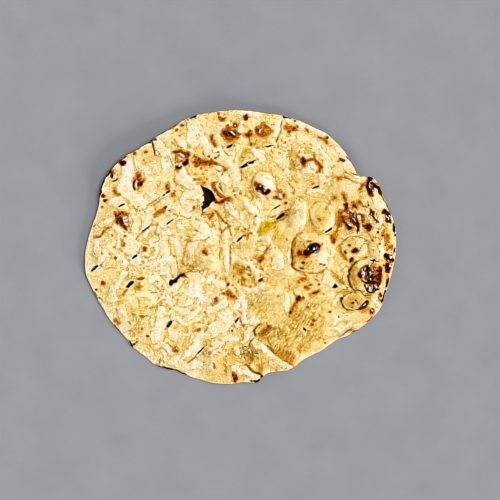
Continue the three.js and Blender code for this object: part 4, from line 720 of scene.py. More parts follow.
# The relief of the upper face, in millimetres.
PLATE_RISE = (0.25, 0.75)
LOOSE_PLATE_RISE = (0.3, 0.7)
WRINKLE_HEIGHT = 0.2
CRUMPLE_HEIGHT = 0.45  # how much higher the wrinkles are where the sheet is crumpled
WRINKLE_LEVEL = 0.35  # the part of the wrinkles that lies below the sheet
HATCH_HEIGHT = 0.7
CHAR_HEIGHT = 1.3
CHAR_DEPTH = 0.5
CHAR_BAND = (0.62, 0.95)  # of baking
BLISTER_CALM = 0.75  # the share of plates and wrinkles that a blister stretches flat
CALM_BAND = (0.3, 1.2)  # of the blister's height
RIM_RELIEF = 0.25  # the share of the relief that is left at the edge
RIM_RELIEF_BAND = (0.3, 5.0)  # in from the edge, for the rest of it
DENT_HEIGHT = 0.35
DENT_BAND = (0.5, 6.0)  # in from the edge
FACES_UP = (0.2, 0.7)  # of a normal's rise, for the relief
SMALLEST_HEIGHT = 0.001

# Random fields: how wide their lumps are in millimetres, and a seed.
PLATE_BREADTH_LUMPS = (4.5, 25)
PLATE_STRENGTH_LUMPS = (5.5, 27)
LOOSE_PLATE_LUMPS = (4.6, 41)
HATCH_LUMPS = (1.3, 97)
CHAR_LUMPS = (1.8, 107)
DENT_LUMPS = (9, 111)

# Random waves and grain of the sheet: how high they are, how wide their lumps are, and a seed.
ROUGH_SHEET = [(0.9, 11, 101), (0.22, 1.2, 103)]

# Ways to wander, one step after another: how wide the lumps are, how far they push, and a seed.
SCORCH_WANDER = [(3.4, 0.6, 51), (1.3, 0.3, 61)]
THREAD_WANDER = [(3.4, 0.5, 51), (1.3, 0.25, 61)]
SPECK_WANDER = [(1.3, 0.25, 61)]
FLAKE_WANDER = [(1.4, 0.4, 71)]
PLATE_WANDER = [(7, 1.6, 11), (3.0, 1.1, 21), (1.4, 0.4, 23)]
LOOSE_PLATE_WANDER = [(7, 3.0, 31), (2.2, 1.2, 33)]
BLISTER_WANDER = [(6, 0.7, 91)]
RIDGE_WANDER = [(6.5, 1.0, 11), (2.4, 0.5, 21)]
HATCH_WANDER = [(2, 0.6, 95)]
CREASE_WANDER = [(2.6, 0.4, 105)]
CRACKED_WANDER = [(3, 1.0, 121)]

# Fine wrinkles: the share of each set, how it wanders, and its lumps.
WRINKLES = [(0.6, [(5, 2.0, 81)], (4.2, 83)), (0.4, [(2.5, 1.0, 85)], (2.2, 87))]

# Nicks of the edge: how many go round it, where they start, how often they fade out, and where that starts.
NICKS = [(37, 0, 0, math.pi / 2), (61, 1, 5, 0), (113, 2, 9, 1)]

# How the shapes are made.
CURVE_STEPS = 60  # places between two of the edge's points
LATTICE = 97  # random values along each side of a noise field, which then repeats
LATTICE_START = 500
TINY = 1e-9
LEVEL_GAP = 1e-7  # an edge whose ends are less than this apart from above, in metres, is upright
SHORTEST_SPINE = 0.2
LEAST_HOLD = 0.42
LEAST_REACH = 0.5
LIFT_HOLD = 0.45  # the share of a lifted stretch that is pulled
CUTTER_HEIGHT = 8 * SHEET_THICKNESS
SLIT_ROUNDING = 0.5
TEAR_DEPTH = 1.8  # how far a tear's floor lies below the skin
TEAR_OPENING = 4 * SHEET_THICKNESS
STEEP = 0.6  # a face whose normal rises or falls less than this is a wall
UNDERSIDE_KEPT = 0.06  # the share of its faces that the underside keeps
CREST_ROUNDS = 24
CREST_HOLD = 0.3  # how much of its own height a point keeps in each round of evening out
CREST_FULL = 0.5  # a point this far above the evened surface is a full crest
SLIT_END_SPARE = 1.0  # how far past a slit's ends and sides its walls are looked for
SLIT_SIDE_SPARE = 1.4
TEAR_SPARE = 1.6
RIM_KEPT = 1.5  # a wall nearer to the edge than this is the rim's own
SKIN = 0.4
LOWEST_BURN = 0.5  # what lies lower belongs to the underside

# Node groups.
USUAL_GRAINS = 400
MOTTLE_BAND = (0.25, 0.75)
VEIN_HALF = 0.05
STREAK_TURN = -58.0
STREAK_DRAWN = (0.26, 1.0, 1.0)
STREAK_RANGE = (0.3, 0.7)

# The crust's patterns: grains per metre.
FINE_GRAINS = 1500
STREAK_GRAINS = 1000
GRIT_GRAINS = 850
SMALL_GRAINS = 600
WRINKLE_GRAINS = 560
GLINT_GRAINS = 230
FOLD_GRAINS = 210
PATCH_GRAINS = 170
UNDERSIDE_GRAINS = 130
BROAD_GRAINS = 95

# How pale the dough is, from 0, deep gold, to 1, floury white, and what each mark adds to that.
PLAIN_DOUGH = 0.568
# painted highlight on crests and painted shade in hollows
CREST_PAINTED_LIGHT_AND_SHADE = 0.26
PLATE_PALE = 0.15
TOAST_PALE = -0.18
FLOUR_PALE = 0.09
# dark seams round the plates: partly real lines, partly painted shade below their steps
SEAM_AND_SHADE_PALE = -0.54
# painted shade on slopes that face west, away from the key lamp
WEST_SHADE_PALE = -0.1
# painted shade in the creases of the folds, in the hatching and along the wrinkles
CREASE_SHADE_PALE = -0.3
HATCH_PALE = -0.13
WRINKLE_PALE = -0.06
BROAD_SWING = 0.18  # and how far each pattern takes it either way
PATCH_SWING = 0.07
SMALL_SWING = 0.09
FINE_SWING = 0.22
PLATE_GRAIN = 0.5  # the share of the finest pattern that is left on a plate

# How far the patterns break up the edges of marks, and the levels of what shows. Where there are four values,
# the last two are the amounts at those levels.
FINE_JITTER = 0.14
SMALL_JITTER = 0.18
STREAKS_SHOW = (0.45, 0.7)
PATCHES_FIRM = (0.25, 0.5)
PATCHES_CREASED = (0.4, 0.7)
SOFT_PLATE = (0.1, 0.95)
FIRM_PLATE = (0.36, 0.6)
SEAM_LEVEL = 0.4
SEAM_HALF = 0.11
SEAM_BREAKS = (0.4, 0.58)
BUTTER_GRIT = 0.35
BUTTER_PATCHES = 0.25
BUTTER_EDGE = (0.2, 0.7)
UNDERSIDE_BAKED = (0.5, 1.0, 0.0, 0.8)
SCORCH_BITE = (0.05, 0.3)
SCORCH_FINE = 0.28
SCORCH_SMALL = 0.22
CRACKLE_GRIT = 0.5
CRACKLE_FINE = 0.3
TOAST_SPECKS = (0.62, 0.84, 0.0, 0.5)
BARE_SPECKS = 0.3  # the share of those specks that is left where nothing is toasted
BROWN_EDGE = (0.18, 0.34)
THREAD_RAGGED = 0.7
THREAD_EDGE = (0.45, 1.0, 1.0, 0.0)
THREAD_BREAKS = (0.42, 0.6)
FAINT_THREAD = (0.5, 0.92, 1.0, 0.0)
MARK_SHOWS = (0.15, 0.3)
SPECK_EDGE = (0.75, 1.15, 1.0, 0.0)
SPECK_SWING = 0.12
FLAKE_SHOWS = (0.4, 0.6)
# glints: painted highlights along the cracks of the char
GLINT_VEINS = (0.2, 0.5)
GLINT_CRUST = (0.4, 0.6)
GLINT_BREAKS = (0.5, 0.6)
FLAKE_SHARE = 0.95
PIT_SHADE = (0.2, 0.8, 0.8, 1.08)
WRINKLE_SHADE = 0.9
HATCH_SHADE = 0.76

# Finishes. The small relief is in shares of BUMP_HEIGHT.
CHAR_SHOWS = (0.7, 0.95)
CRUST_ROUGHNESS = 0.75
CHAR_ROUGHNESS = -0.25  # what char adds to that
CRUST_SPECULAR = 0.02
FINE_BUMP = 0.6
SMALL_BUMP = 0.6
WRINKLE_BUMP = -0.5
PLATE_BUMP = 0.4
FOLD_BUMP = -0.7
BUMP_STRENGTH = 0.8
BUMP_HEIGHT = 0.4

# Colours as a screen shows them, 0 to 255, and where each stands on its ramp.
DOUGH_TONES = [
    (0.0, (166, 104, 0)), (0.18, (221, 166, 32)), (0.4, (246, 209, 114)), (0.6, (252, 230, 166)),
    (0.8, (255, 243, 216)), (1.0, (255, 249, 244)),
]
BROWN_TONES = [
    (0.2, (238, 195, 86)), (0.3, (228, 165, 36)), (0.4, (213, 133, 6)), (0.5, (187, 95, 0)),
    (0.6, (148, 52, 0)), (0.7, (98, 20, 0)), (0.82, (40, 9, 5)), (1.0, (8, 6, 8)),
]
SINGED_TONES = [
    (0.3, (205, 151, 26)), (0.45, (166, 106, 4)), (0.6, (134, 66, 0)), (0.8, (84, 27, 0)), (0.95, (20, 8, 6)),
]
BUTTER_TONE = (236, 217, 60)
# the white of the flakes, which also serves as painted highlight on the char
FLAKE_AND_HIGHLIGHT_TONE = (246, 236, 228)

# Plain mottled materials: grains per metre, tones, roughness and shine.
SOOT_AND_SHADE = (900, [(0.2, (13, 9, 8)), (1.0, (40, 22, 16))], 0.9, 0.1)  # inside the slits and tears: char, and painted shade for the dark of these narrow hollows
TABLE = (40, [(0.0, (123, 124, 128)), (1.0, (129, 130, 134))], 1.0, 0.0)

# Lamps: strength, softness, height over the table, and bearing from the east towards the north, in degrees.
KEY = (2.72, 36.0, 52.0, 10.0)
FILL = (8.0, 16.0, 9.0, -55.0)
SURROUND_STRENGTH = 0.55
FILM_FILTER = 0.75  # a crisp picture: the width of the film's filter, in pixels
TABLE_SIZE = 4.0  # in metres
TABLE_DROP = 0.2  # how far below the bread the table lies, so that their faces don't meet

# The photograph is square. It looks straight down, and shows 300 mm from side to side.
VIEW_WIDTH = 300.0
VIEW_MIDDLE = (6.0, -1.8)
LENS = 85.0
SENSOR = 36.0
CLIP_START = 10.0


def edge_places():
    """Evenly spaced places along the smooth curve through the edge's points, with small nicks."""
    here = np.array(EDGE, float)
    before, after, next_after = (np.roll(here, step, axis=0) for step in (1, -1, -2))

    def knot(start, end):
        return np.sqrt(np.linalg.norm(end - start, axis=1))[:, None]

    first = knot(before, here)
    second = knot(here, after)
    third = knot(after, next_after)
    leave = second * (
        (here - before) / first - (after - before) / (first + second) + (after - here) / second
    )
    arrive = second * (
        (after - here) / second - (next_after - here) / (second + third) + (next_after - after) / third
    )
    share = np.linspace(0, 1, CURVE_STEPS, endpoint=False)[None, :, None]
    square = share**2
    cube = share**3
    curve = (
        (2 * cube - 3 * square + 1) * here[:, None]
        + (cube - 2 * square + share) * leave[:, None]
        + (3 * square - 2 * cube) * after[:, None]
        + (cube - square) * arrive[:, None]
    ).reshape(-1, 2)
    closed = np.vstack([curve, curve[:1]])
    travelled = np.concatenate([[0], np.cumsum(np.linalg.norm(np.diff(closed, axis=0), axis=1))])
    stops = np.linspace(0, travelled[-1], POINTS_ROUND_EDGE, endpoint=False)
    places = np.column_stack([np.interp(stops, travelled, closed[:, axis]) for axis in (0, 1)])
    turn = stops / travelled[-1] * 2 * math.pi
    nicks = np.zeros(len(turn))
    for many, start, fades, fade_start in NICKS:
        nicks += np.sin(many * turn + start) * np.sin(fades * turn + fade_start)
    return places * (1 + RAGGED * nicks / len(NICKS) / np.linalg.norm(places, axis=1))[:, None]


def gap_to_edge(plan):
    """How far each place is from the edge, along the line to the middle, in millimetres."""
    places = edge_places()
    bearings = np.arctan2(places[:, 1], places[:, 0])
    reaches = np.linalg.norm(places, axis=1)
    own_bearings = np.arctan2(plan[:, 1], plan[:, 0])
    return np.interp(own_bearings, bearings, reaches, period=2 * math.pi) - np.linalg.norm(plan, axis=1)


def smooth_step(low, high, value):
    """A smooth rise from 0 at the low value to 1 at the high one."""
    share = np.clip((value - low) / (high - low), 0, 1)
    return share * share * (3 - 2 * share)


def noise(plan, grain, seed):
    """A smooth random field from 0 to 1, with lumps about as wide as the grain."""
    lattice = np.random.default_rng(seed).random((LATTICE, LATTICE))
    cosine = math.cos(seed)
    sine = math.sin(seed)
    turned = plan @ ((cosine, sine), (-sine, cosine)) / grain + LATTICE_START
    corner = np.floor(turned).astype(int)
    share = smooth_step(0, 1, turned - corner)
    west, south = (corner % LATTICE).T
    east, north = ((corner + 1) % LATTICE).T
    low = lattice[west, south] * (1 - share[:, 0]) + lattice[east, south] * share[:, 0]
    high = lattice[west, north] * (1 - share[:, 0]) + lattice[east, north] * share[:, 0]
    return low * (1 - share[:, 1]) + high * share[:, 1]


def wander(plan, steps):
    """The places pushed about at random, so that marks wander too."""
    for grain, amount, seed in steps:
        push = np.column_stack([noise(plan, grain, seed), noise(plan, grain, seed + 1)])
        plan = plan + amount * (2 * push - 1)
    return plan


def legs(plan, line):
    """Each leg of a line of points, and the way from its nearest point to each place."""
    corners = np.array(line, float)
    for start, end in zip(corners[:-1], corners[1:]):
        along = end - start
        share = np.clip((plan - start) @ along / max(along @ along, TINY), 0, 1)
        yield along, plan - start - share[:, None] * along


def away_from_line(plan, line):
    """How far each place is from a line of points, in millimetres."""
    nearest = np.full(len(plan), np.inf)
    for _, gap in legs(plan, line):
        nearest = np.minimum(nearest, np.linalg.norm(gap, axis=1))
    return nearest


def away_from_oval(plan, x, y, long, wide, turn, boxiness=2.0):
    """How far out each place is in an oval: 0 in its middle, 1 on its edge."""
    angle = math.radians(turn)
    out = plan - (x, y)
    along = np.abs(out @ (math.cos(angle), math.sin(angle))) / long
    across = np.abs(out @ (-math.sin(angle), math.cos(angle))) / wide
    return (along**boxiness + across**boxiness) ** (1 / boxiness)


def spine(x, y, long, wide, turn):
    """The line along the middle of an oval."""
    angle = math.radians(turn)
    half = max(long - wide, SHORTEST_SPINE)
    step = half * math.cos(angle), half * math.sin(angle)
    return [(x - step[0], y - step[1]), (x + step[0], y + step[1])]


def inside(plan, outline):
    """Which places lie inside a closed outline."""
    corners = np.array(outline, float)
    hits = np.zeros(len(plan), bool)
    for (x0, y0), (x1, y1) in zip(corners, np.roll(corners, -1, axis=0)):
        spans = (y0 > plan[:, 1]) != (y1 > plan[:, 1])
        crossing = x0 + (plan[:, 1] - y0) * (x1 - x0) / (y1 - y0 if y1 != y0 else TINY)
        hits ^= spans & (plan[:, 0] < crossing)
    return hits


def take_up(pieces):
    """Select these objects alone, and make the first one active."""
    bpy.ops.object.select_all(action="DESELECT")
    for piece in pieces:
        piece.select_set(True)
    bpy.context.view_layer.objects.active = pieces[0]


def edit(bread):
    """Enter edit mode on one object, with nothing selected."""
    take_up([bread])
    bpy.ops.object.mode_set(mode="EDIT")
    bpy.ops.mesh.select_mode(type="VERT")
    bpy.ops.mesh.select_all(action="DESELECT")


def leave_edit():
    bpy.ops.object.mode_set(mode="OBJECT")


def pick(piece, kind, wanted):
    """Select the points, edges or faces that are wanted, and nothing else."""
    bpy.ops.mesh.select_mode(type=kind)
    bpy.ops.mesh.select_all(action="DESELECT")
    shape = bmesh.from_edit_mesh(piece.data)
    for item in {"VERT": shape.verts, "EDGE": shape.edges, "FACE": shape.faces}[kind]:
        item.select = wanted(item)
    bmesh.update_edit_mesh(piece.data)


def extrude(shift):
    """Extrude what is selected by a shift in millimetres."""
    bpy.ops.mesh.extrude_region_move(TRANSFORM_OT_translate={"value": tuple(value * MM for value in shift)})


def face_outward():
    bpy.ops.mesh.select_all(action="SELECT")
    bpy.ops.mesh.normals_make_consistent(inside=False)


def triples(items, name):
    """A named place or direction of each point or face, one row for each."""
    values = np.empty(len(items) * 3)
    items.foreach_get(name, values)
    return values.reshape(-1, 3)


class Dough:
    """One face of the sheet in edit mode, shaped by pulling points up or down as fingers and steam do."""

    def __init__(self, bread):
        self.bread = bread
        shape = bmesh.from_edit_mesh(bread.data)
        shape.verts.ensure_lookup_table()
        shown = [vert for vert in shape.verts if not vert.hide]
        self.numbers = np.array([vert.index for vert in shown])
        self.plan = np.array([vert.co.xy for vert in shown]) / MM

    def select(self, chosen):
        bpy.ops.mesh.select_all(action="DESELECT")
        shape = bmesh.from_edit_mesh(self.bread.data)
        shape.verts.ensure_lookup_table()
        for number in self.numbers[chosen]:
            shape.verts[number].select = True
        bmesh.update_edit_mesh(self.bread.data, loop_triangles=False, destructive=False)

    def pull(self, chosen, height, reach):
        """Pull the chosen points up, and what is within reach along."""
        self.select(chosen)
        bpy.ops.transform.translate(
            value=(0, 0, height * MM),
            use_proportional_edit=True,
            proportional_edit_falloff="SMOOTH",
            proportional_size=reach * MM,
        )

    def pull_line(self, line, height, half):
        hold = min(HOLD, half / 2)
        held = away_from_line(self.plan, line) < max(hold, LEAST_HOLD)
        self.pull(held, height, max(half - hold, LEAST_REACH))


def slap_sheet():
    """The flat sheet: a circle of points moved to the edge, filled with a grid of small faces."""
    bpy.ops.object.select_all(action="DESELECT")
    bpy.ops.mesh.primitive_circle_add(vertices=POINTS_ROUND_EDGE, radius=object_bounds()[1][0])
    bread = bpy.context.object
    bread.name = "baked_roti"
    places = np.column_stack([edge_places() * MM, np.zeros(POINTS_ROUND_EDGE)])
    bread.data.vertices.foreach_set("co", places.ravel())
    edit(bread)
    bpy.ops.mesh.select_all(action="SELECT")
    bpy.ops.mesh.fill_grid(span=POINTS_ROUND_EDGE // 4)
    return bread


def curl_rim(dough):
    """Lift the stretches of rim that curled off the hot wall."""
    bearings = np.degrees(np.arctan2(dough.plan[:, 1], dough.plan[:, 0]))
    on_edge = gap_to_edge(dough.plan) < ON_EDGE
    for bearing, half_spread, high in LIFTED_RIM:
        apart = np.abs((bearings - bearing + 540) % 360 - 180)
        dough.pull(on_edge & (apart < half_spread * LIFT_HOLD), high, LIFT_REACH)


def raise_upper_face(bread):
    """Give the sheet its thickness, hide the underside, and thin the upper face towards the rim."""
    bpy.ops.mesh.select_all(action="SELECT")
    extrude((0, 0, SHEET_THICKNESS))
    bpy.ops.mesh.hide(unselected=True)
    upper = Dough(bread)
    upper.pull(gap_to_edge(upper.plan) < ON_EDGE, RIM_THICKNESS - SHEET_THICKNESS, RIM_BAND)
    return upper


def swell(upper):
    for x, y, long, wide, turn, high in SWELLINGS:
        upper.pull_line(spine(x, y, long, wide, turn), high, wide)


def upright(side):
    return (side.verts[0].co - side.verts[1].co).xy.length < LEVEL_GAP


def round_rim(bread):
    """Cut the wall of the rim once round and push the new loop out, so that the edge is round."""
    bpy.ops.mesh.reveal(select=False)
    pick(bread, "EDGE", upright)
    bpy.ops.mesh.subdivide(number_cuts=1)
    bpy.ops.mesh.select_mode(type="VERT")
    face_outward()
    pick(bread, "VERT", lambda vert: sum(upright(side) for side in vert.link_edges) == 2)
    bpy.ops.transform.shrink_fatten(value=RIM_BULGE * MM)


def emboss(bread, name, heights):
    """Raise or lower each point by its height, in millimetres, with a Displace modifier."""
    for sign in (1, -1):
        weights = np.maximum(sign * heights, 0)
        peak = weights.max()
        if peak == 0:
            continue
        group = bread.vertex_groups.new(name=name)
        for number in np.nonzero(weights > SMALLEST_HEIGHT)[0].tolist():
            group.add([number], weights[number] / peak, "REPLACE")
        relief = bread.modifiers.new(name, "DISPLACE")
        relief.direction = "Z"
        relief.mid_level = 0
        relief.strength = sign * peak * MM
        relief.vertex_group = group.name
        bpy.ops.object.modifier_apply(modifier=relief.name)
        bread.vertex_groups.clear()


def ovals_field(plan, ovals):
    """The strongest of many soft ovals at each place."""
    field = np.zeros(len(plan))
    for *oval, amount in ovals:
        away = away_from_oval(plan, *oval)
        field = np.maximum(field, amount * (1 - smooth_step(OVAL_CORE, 1.0, away)))
    return field


def lines_field(plan, lines, inner, outer):
    """The strongest of many soft lines at each place, which fade between two shares of their half widths."""
    field = np.zeros(len(plan))
    for half, amount, *line in lines:
        away = away_from_line(plan, line) / half
        field = np.maximum(field, amount * (1 - smooth_step(inner, outer, away)))
    return field


def is_speck(long, wide, depth):
    return min(long, wide) < SPECK and depth >= BROWN


def baked_mark(depth, outside):
    """How far a mark is baked at each distance outside its core."""
    baked = depth - MARK_SLOPE * np.maximum(outside, 0)
    if depth >= BROWN:
        baked = np.maximum(baked, HALO - HALO_SLOPE * np.maximum(outside, 0))
    return baked


def scorch_field(plan):
    """How far the baking went at each place: marks that fade out from their cores."""
    uneven = wander(plan, SCORCH_WANDER)
    field = np.zeros(len(plan))
    for x, y, long, wide, turn, depth in SPOTS:
        outside = (away_from_oval(uneven, x, y, long, wide, turn) - MARK_CORE) * min(long, wide)
        if is_speck(long, wide, depth):
            baked = SPECK_HALO - HALO_SLOPE * np.maximum(outside, 0)
        else:
            baked = baked_mark(depth, outside)
        field = np.maximum(field, baked)
    for half, depth, *line in STROKES:
        if half >= THREAD:
            field = np.maximum(field, baked_mark(depth, away_from_line(uneven, line) - MARK_CORE * half))
    return field


class NearestMark:
    """The mark nearest to each place: how far out the place is from it, and how far it is baked."""

    def __init__(self, count):
        self.gap = np.full(count, np.inf)
        self.out = np.zeros(count)
        self.depth = np.zeros(count)

    def offer(self, gap, out, depth):
        closer = gap < self.gap
        self.gap[closer] = gap[closer]
        self.out[closer] = out[closer]
        self.depth[closer] = depth

    def fields(self, reach):
        """How far out each place is, and how far its mark is baked, which fades beside it."""
        return self.out, self.depth * np.clip(reach - self.gap / MARK_FADE, 0, 1)


def thread_fields(plan):
    """The signed distance to the nearest thread, in half widths, and how dark that thread is nearby."""
    uneven = wander(plan, THREAD_WANDER)
    marks = NearestMark(len(plan))
    for half, depth, *line in STROKES:
        if half >= THREAD:
            continue
        for along, gap in legs(uneven, line):
            away = np.linalg.norm(gap, axis=1)
            side = np.where(along[0] * gap[:, 1] < along[1] * gap[:, 0], -1, 1)
            marks.offer(away, side * np.minimum(away / half, FARTHEST), depth)
    return marks.fields(THREAD_REACH)


def speck_fields(plan):
    """How far out each place is from the nearest speck, 1 on its edge, and how dark that speck is nearby."""
    uneven = wander(plan, SPECK_WANDER)
    marks = NearestMark(len(plan))
    for x, y, long, wide, turn, depth in SPOTS:
        if is_speck(long, wide, depth):
            away = away_from_oval(uneven, x, y, long, wide, turn)
            marks.offer((away - 1) * min(long, wide), np.minimum(away, FARTHEST), depth)
    return marks.fields(SPECK_REACH)


def flake_and_highlight_field(plan):
    flakes = [(half, 1.0, *line) for half, *line in FLAKES_AND_HIGHLIGHTS]
    return lines_field(wander(plan, FLAKE_WANDER), flakes, *FLAKE_EDGE)


def plate_field(plan):
    """The pale plates, which fade outward: those placed one by one, and loose ones strewn about."""
    uneven = wander(plan, PLATE_WANDER)
    breadth = PLATE_BREADTH[0] + PLATE_BREADTH[1] * noise(plan, *PLATE_BREADTH_LUMPS)
    placed = np.zeros(len(plan))
    for half, amount, *line in PLATES:
        level = np.clip(PLATE_FADE - away_from_line(uneven, line) / (half * breadth), 0, 1)
        placed = np.maximum(placed, level * (PLATE_AMOUNT[0] + PLATE_AMOUNT[1] * amount))
    placed *= PLATE_STRENGTH[0] + PLATE_STRENGTH[1] * noise(plan, *PLATE_STRENGTH_LUMPS)
    lumps = noise(wander(plan, LOOSE_PLATE_WANDER), *LOOSE_PLATE_LUMPS)
    strewn = np.clip((lumps - LOOSE_EDGE) / LOOSE_SLOPE, 0, 1)
    room = 1 - smooth_step(*LOOSE_ROOM, placed)
    return placed, strewn * room * ovals_field(plan, CRUMPLED)


def wrinkle_field(plan):
    """Fine meandering wrinkles, from 0 to 1, sharp along their crests."""
    field = np.zeros(len(plan))
    for share, steps, lumps in WRINKLES:
        field += share * (1 - np.abs(2 * noise(wander(plan, steps), *lumps) - 1)) ** 2
    return field


def blister_field(plan):
    heights = np.zeros(len(plan))
    uneven = wander(plan, BLISTER_WANDER)
    for *oval, high in BLISTERS:
        away = np.clip(away_from_oval(uneven, *oval, BOXINESS), 0, 1)
        heights = np.maximum(heights, high * (1 - away**2) ** FULLNESS)
    return heights


def relief_field(plan):
    """The height of everything that stands up from the sheet or sinks into it, in millimetres."""
    uneven = wander(plan, RIDGE_WANDER)
    blisters = blister_field(plan)
    calm = 1 - BLISTER_CALM * smooth_step(*CALM_BAND, blisters)
    heights = np.maximum(blisters, lines_field(uneven, RIDGES, 0, 1))
    placed, strewn = plate_field(plan)
    plates = PLATE_HEIGHT * smooth_step(*PLATE_RISE, placed)
    plates += LOOSE_PLATE_HEIGHT * smooth_step(*LOOSE_PLATE_RISE, strewn)
    heights += plates * calm
    wrinkles = WRINKLE_HEIGHT + CRUMPLE_HEIGHT * ovals_field(plan, CRUMPLED)
    heights += wrinkles * calm * (wrinkle_field(plan) - WRINKLE_LEVEL)
    hatching = noise(wander(plan, HATCH_WANDER), *HATCH_LUMPS)
    heights += HATCH_HEIGHT * ovals_field(plan, HATCHED) * (hatching - 0.5)
    for high, *lumps in ROUGH_SHEET:
        heights += high * (noise(plan, *lumps) - 0.5)
    for half, deep, *line in HOLLOWS:
        heights -= deep * (1 - smooth_step(0, 1, away_from_line(uneven, line) / half))
    creased = wander(plan, CREASE_WANDER)
    for half, deep, *line in CREASES:
        heights -= deep * np.clip(1 - away_from_line(creased, line) / half, 0, 1)
    charred = smooth_step(*CHAR_BAND, scorch_field(plan))
    heights += charred * (CHAR_HEIGHT * noise(plan, *CHAR_LUMPS) - CHAR_DEPTH)
    return heights


def crumple(bread):
    """The relief of the upper face, and a few dents under it."""
    plan = triples(bread.data.vertices, "co")[:, :2] / MM
    up = triples(bread.data.vertices, "normal")[:, 2]
    inland = gap_to_edge(plan)
    upper = up > FACES_UP[0]
    heights = np.zeros(len(plan))
    heights[upper] = relief_field(plan[upper])
    kept = RIM_RELIEF + (1 - RIM_RELIEF) * smooth_step(*RIM_RELIEF_BAND, inland)
    dents = DENT_HEIGHT * noise(plan, *DENT_LUMPS) * smooth_step(*DENT_BAND, inland)
    emboss(bread, "relief", heights * smooth_step(*FACES_UP, up) * kept)
    emboss(bread, "dents", dents * smooth_step(*FACES_UP, -up))


def slit_blade(x, y, length, width, turn, seed):
    """A ragged, leaning blade that cuts one slit right through the sheet."""
    angle = math.radians(turn)
    lean = WIDE_SLIT_LEAN if width >= WIDE_SLIT else SLIT_LEAN
    shift = np.array((math.sin(angle), -math.cos(angle))) * lean
    middle = np.array((x, y)) - shift * SHEET_THICKNESS
    bpy.ops.mesh.primitive_plane_add(
        size=1,
        location=(*((middle - shift * CUTTER_HEIGHT / 2) * MM), -CUTTER_HEIGHT / 2 * MM),
        rotation=(0, 0, angle),
    )
    blade = bpy.context.object
    blade.scale = (SLIT_SPARE * length * MM, SLIT_SPARE * width * MM, 1)
    bpy.ops.object.transform_apply(location=True, rotation=True, scale=True)
    bpy.ops.object.mode_set(mode="EDIT")
    bpy.ops.mesh.select_all(action="SELECT")
    bpy.ops.mesh.subdivide(number_cuts=1)
    bpy.ops.mesh.vertices_smooth(factor=SLIT_ROUNDING, repeat=1)
    bpy.ops.mesh.subdivide(number_cuts=1)
    bpy.ops.mesh.dissolve_faces()
    bpy.ops.transform.vertex_random(offset=SLIT_JAGGED * width * MM, uniform=1.0, seed=seed + FIRST_SEED)
    extrude((*(shift * CUTTER_HEIGHT), CUTTER_HEIGHT))
    face_outward()
    leave_edit()
    return blade


def tear_plug(outline):
    """The space of a tear: its jagged outline, wider below the skin than in it."""
    bpy.ops.mesh.primitive_circle_add(vertices=len(outline), radius=MM, fill_type="NGON")
    plug = bpy.context.object
    floor = TEAR_FLOOR * MM
    plug.data.vertices.foreach_set("co", [value for x, y in outline for value in (x * MM, y * MM, floor)])
    middle = np.mean(outline, axis=0) * MM
    bpy.ops.object.mode_set(mode="EDIT")
    bpy.ops.mesh.select_all(action="SELECT")
    extrude((0, 0, TEAR_DEPTH))
    extrude((0, 0, TEAR_OPENING))
    pick(plug, "VERT", lambda vert: vert.co.z < floor + TEAR_DEPTH * MM / 2)
    bpy.ops.transform.resize(value=(UNDERCUT, UNDERCUT, 1), center_override=(*middle, floor))
    face_outward()
    leave_edit()
    return plug


def cut_slits_and_tears(bread):
    """Take the slits and the tears out of the sheet in one Boolean cut."""
    bpy.ops.object.select_all(action="DESELECT")
    cutters = [slit_blade(*slit, seed) for seed, slit in enumerate(SLITS)]
    cutters += [tear_plug(outline) for outline in TEARS]
    take_up(cutters)
    bpy.ops.object.join()
    take_up([bread])
    cut = bread.modifiers.new("slits and tears", "BOOLEAN")
    cut.operation = "DIFFERENCE"
    cut.solver = "MANIFOLD"
    cut.object = cutters[0]
    bpy.ops.object.modifier_apply(modifier=cut.name)
    bpy.data.objects.remove(cutters[0])
    bread.data.materials.clear()


def thin_underside(bread):
    """Fewer faces on the flat underside."""
    edit(bread)
    pick(bread, "FACE", lambda face: face.normal.z < -STEEP)
    bpy.ops.mesh.decimate(ratio=UNDERSIDE_KEPT)
    bpy.ops.mesh.select_mode(type="VERT")
    leave_edit()


def trim_cuts(bread):
    """Join the points that the cuts left close together and take off the thin flaps between them."""
    edit(bread)
    bpy.ops.mesh.select_all(action="SELECT")
    bpy.ops.mesh.remove_doubles(threshold=CUT_MERGE * MM)
    bpy.ops.mesh.dissolve_degenerate(threshold=CUT_MERGE * MM)
    bpy.ops.mesh.select_mode(type="EDGE")
    bpy.ops.mesh.select_all(action="DESELECT")
    bpy.ops.mesh.select_non_manifold(
        extend=False,
        use_wire=True,
        use_boundary=True,
        use_multi_face=False,
        use_non_contiguous=False,
        use_verts=False,
    )
    bpy.ops.mesh.delete(type="EDGE")
    bpy.ops.mesh.select_mode(type="VERT")
    leave_edit()


def shape_roti():
    bread = slap_sheet()
    curl_rim(Dough(bread))
    upper = raise_upper_face(bread)
    swell(upper)
    round_rim(bread)
    leave_edit()
    crumple(bread)
    cut_slits_and_tears(bread)
    thin_underside(bread)
    trim_cuts(bread)
    bpy.ops.object.shade_smooth()
    return bread


def crest_field(mesh):
    """How far each point stands above or below the surface around it, from -1 to 1."""
    ends = np.empty(len(mesh.edges) * 2, int)
    mesh.edges.foreach_get("vertices", ends)
    first, second = ends.reshape(-1, 2).T
    height = triples(mesh.vertices, "co")[:, 2] / MM
    count = np.bincount(ends, minlength=len(height))
    calm = height.copy()
    for _ in range(CREST_ROUNDS):
        total = np.bincount(first, calm[second], len(height))
        total += np.bincount(second, calm[first], len(height))
        calm = CREST_HOLD * calm + (1 - CREST_HOLD) * total / np.maximum(count, 1)
    return np.clip((height - calm) / CREST_FULL, -1, 1)


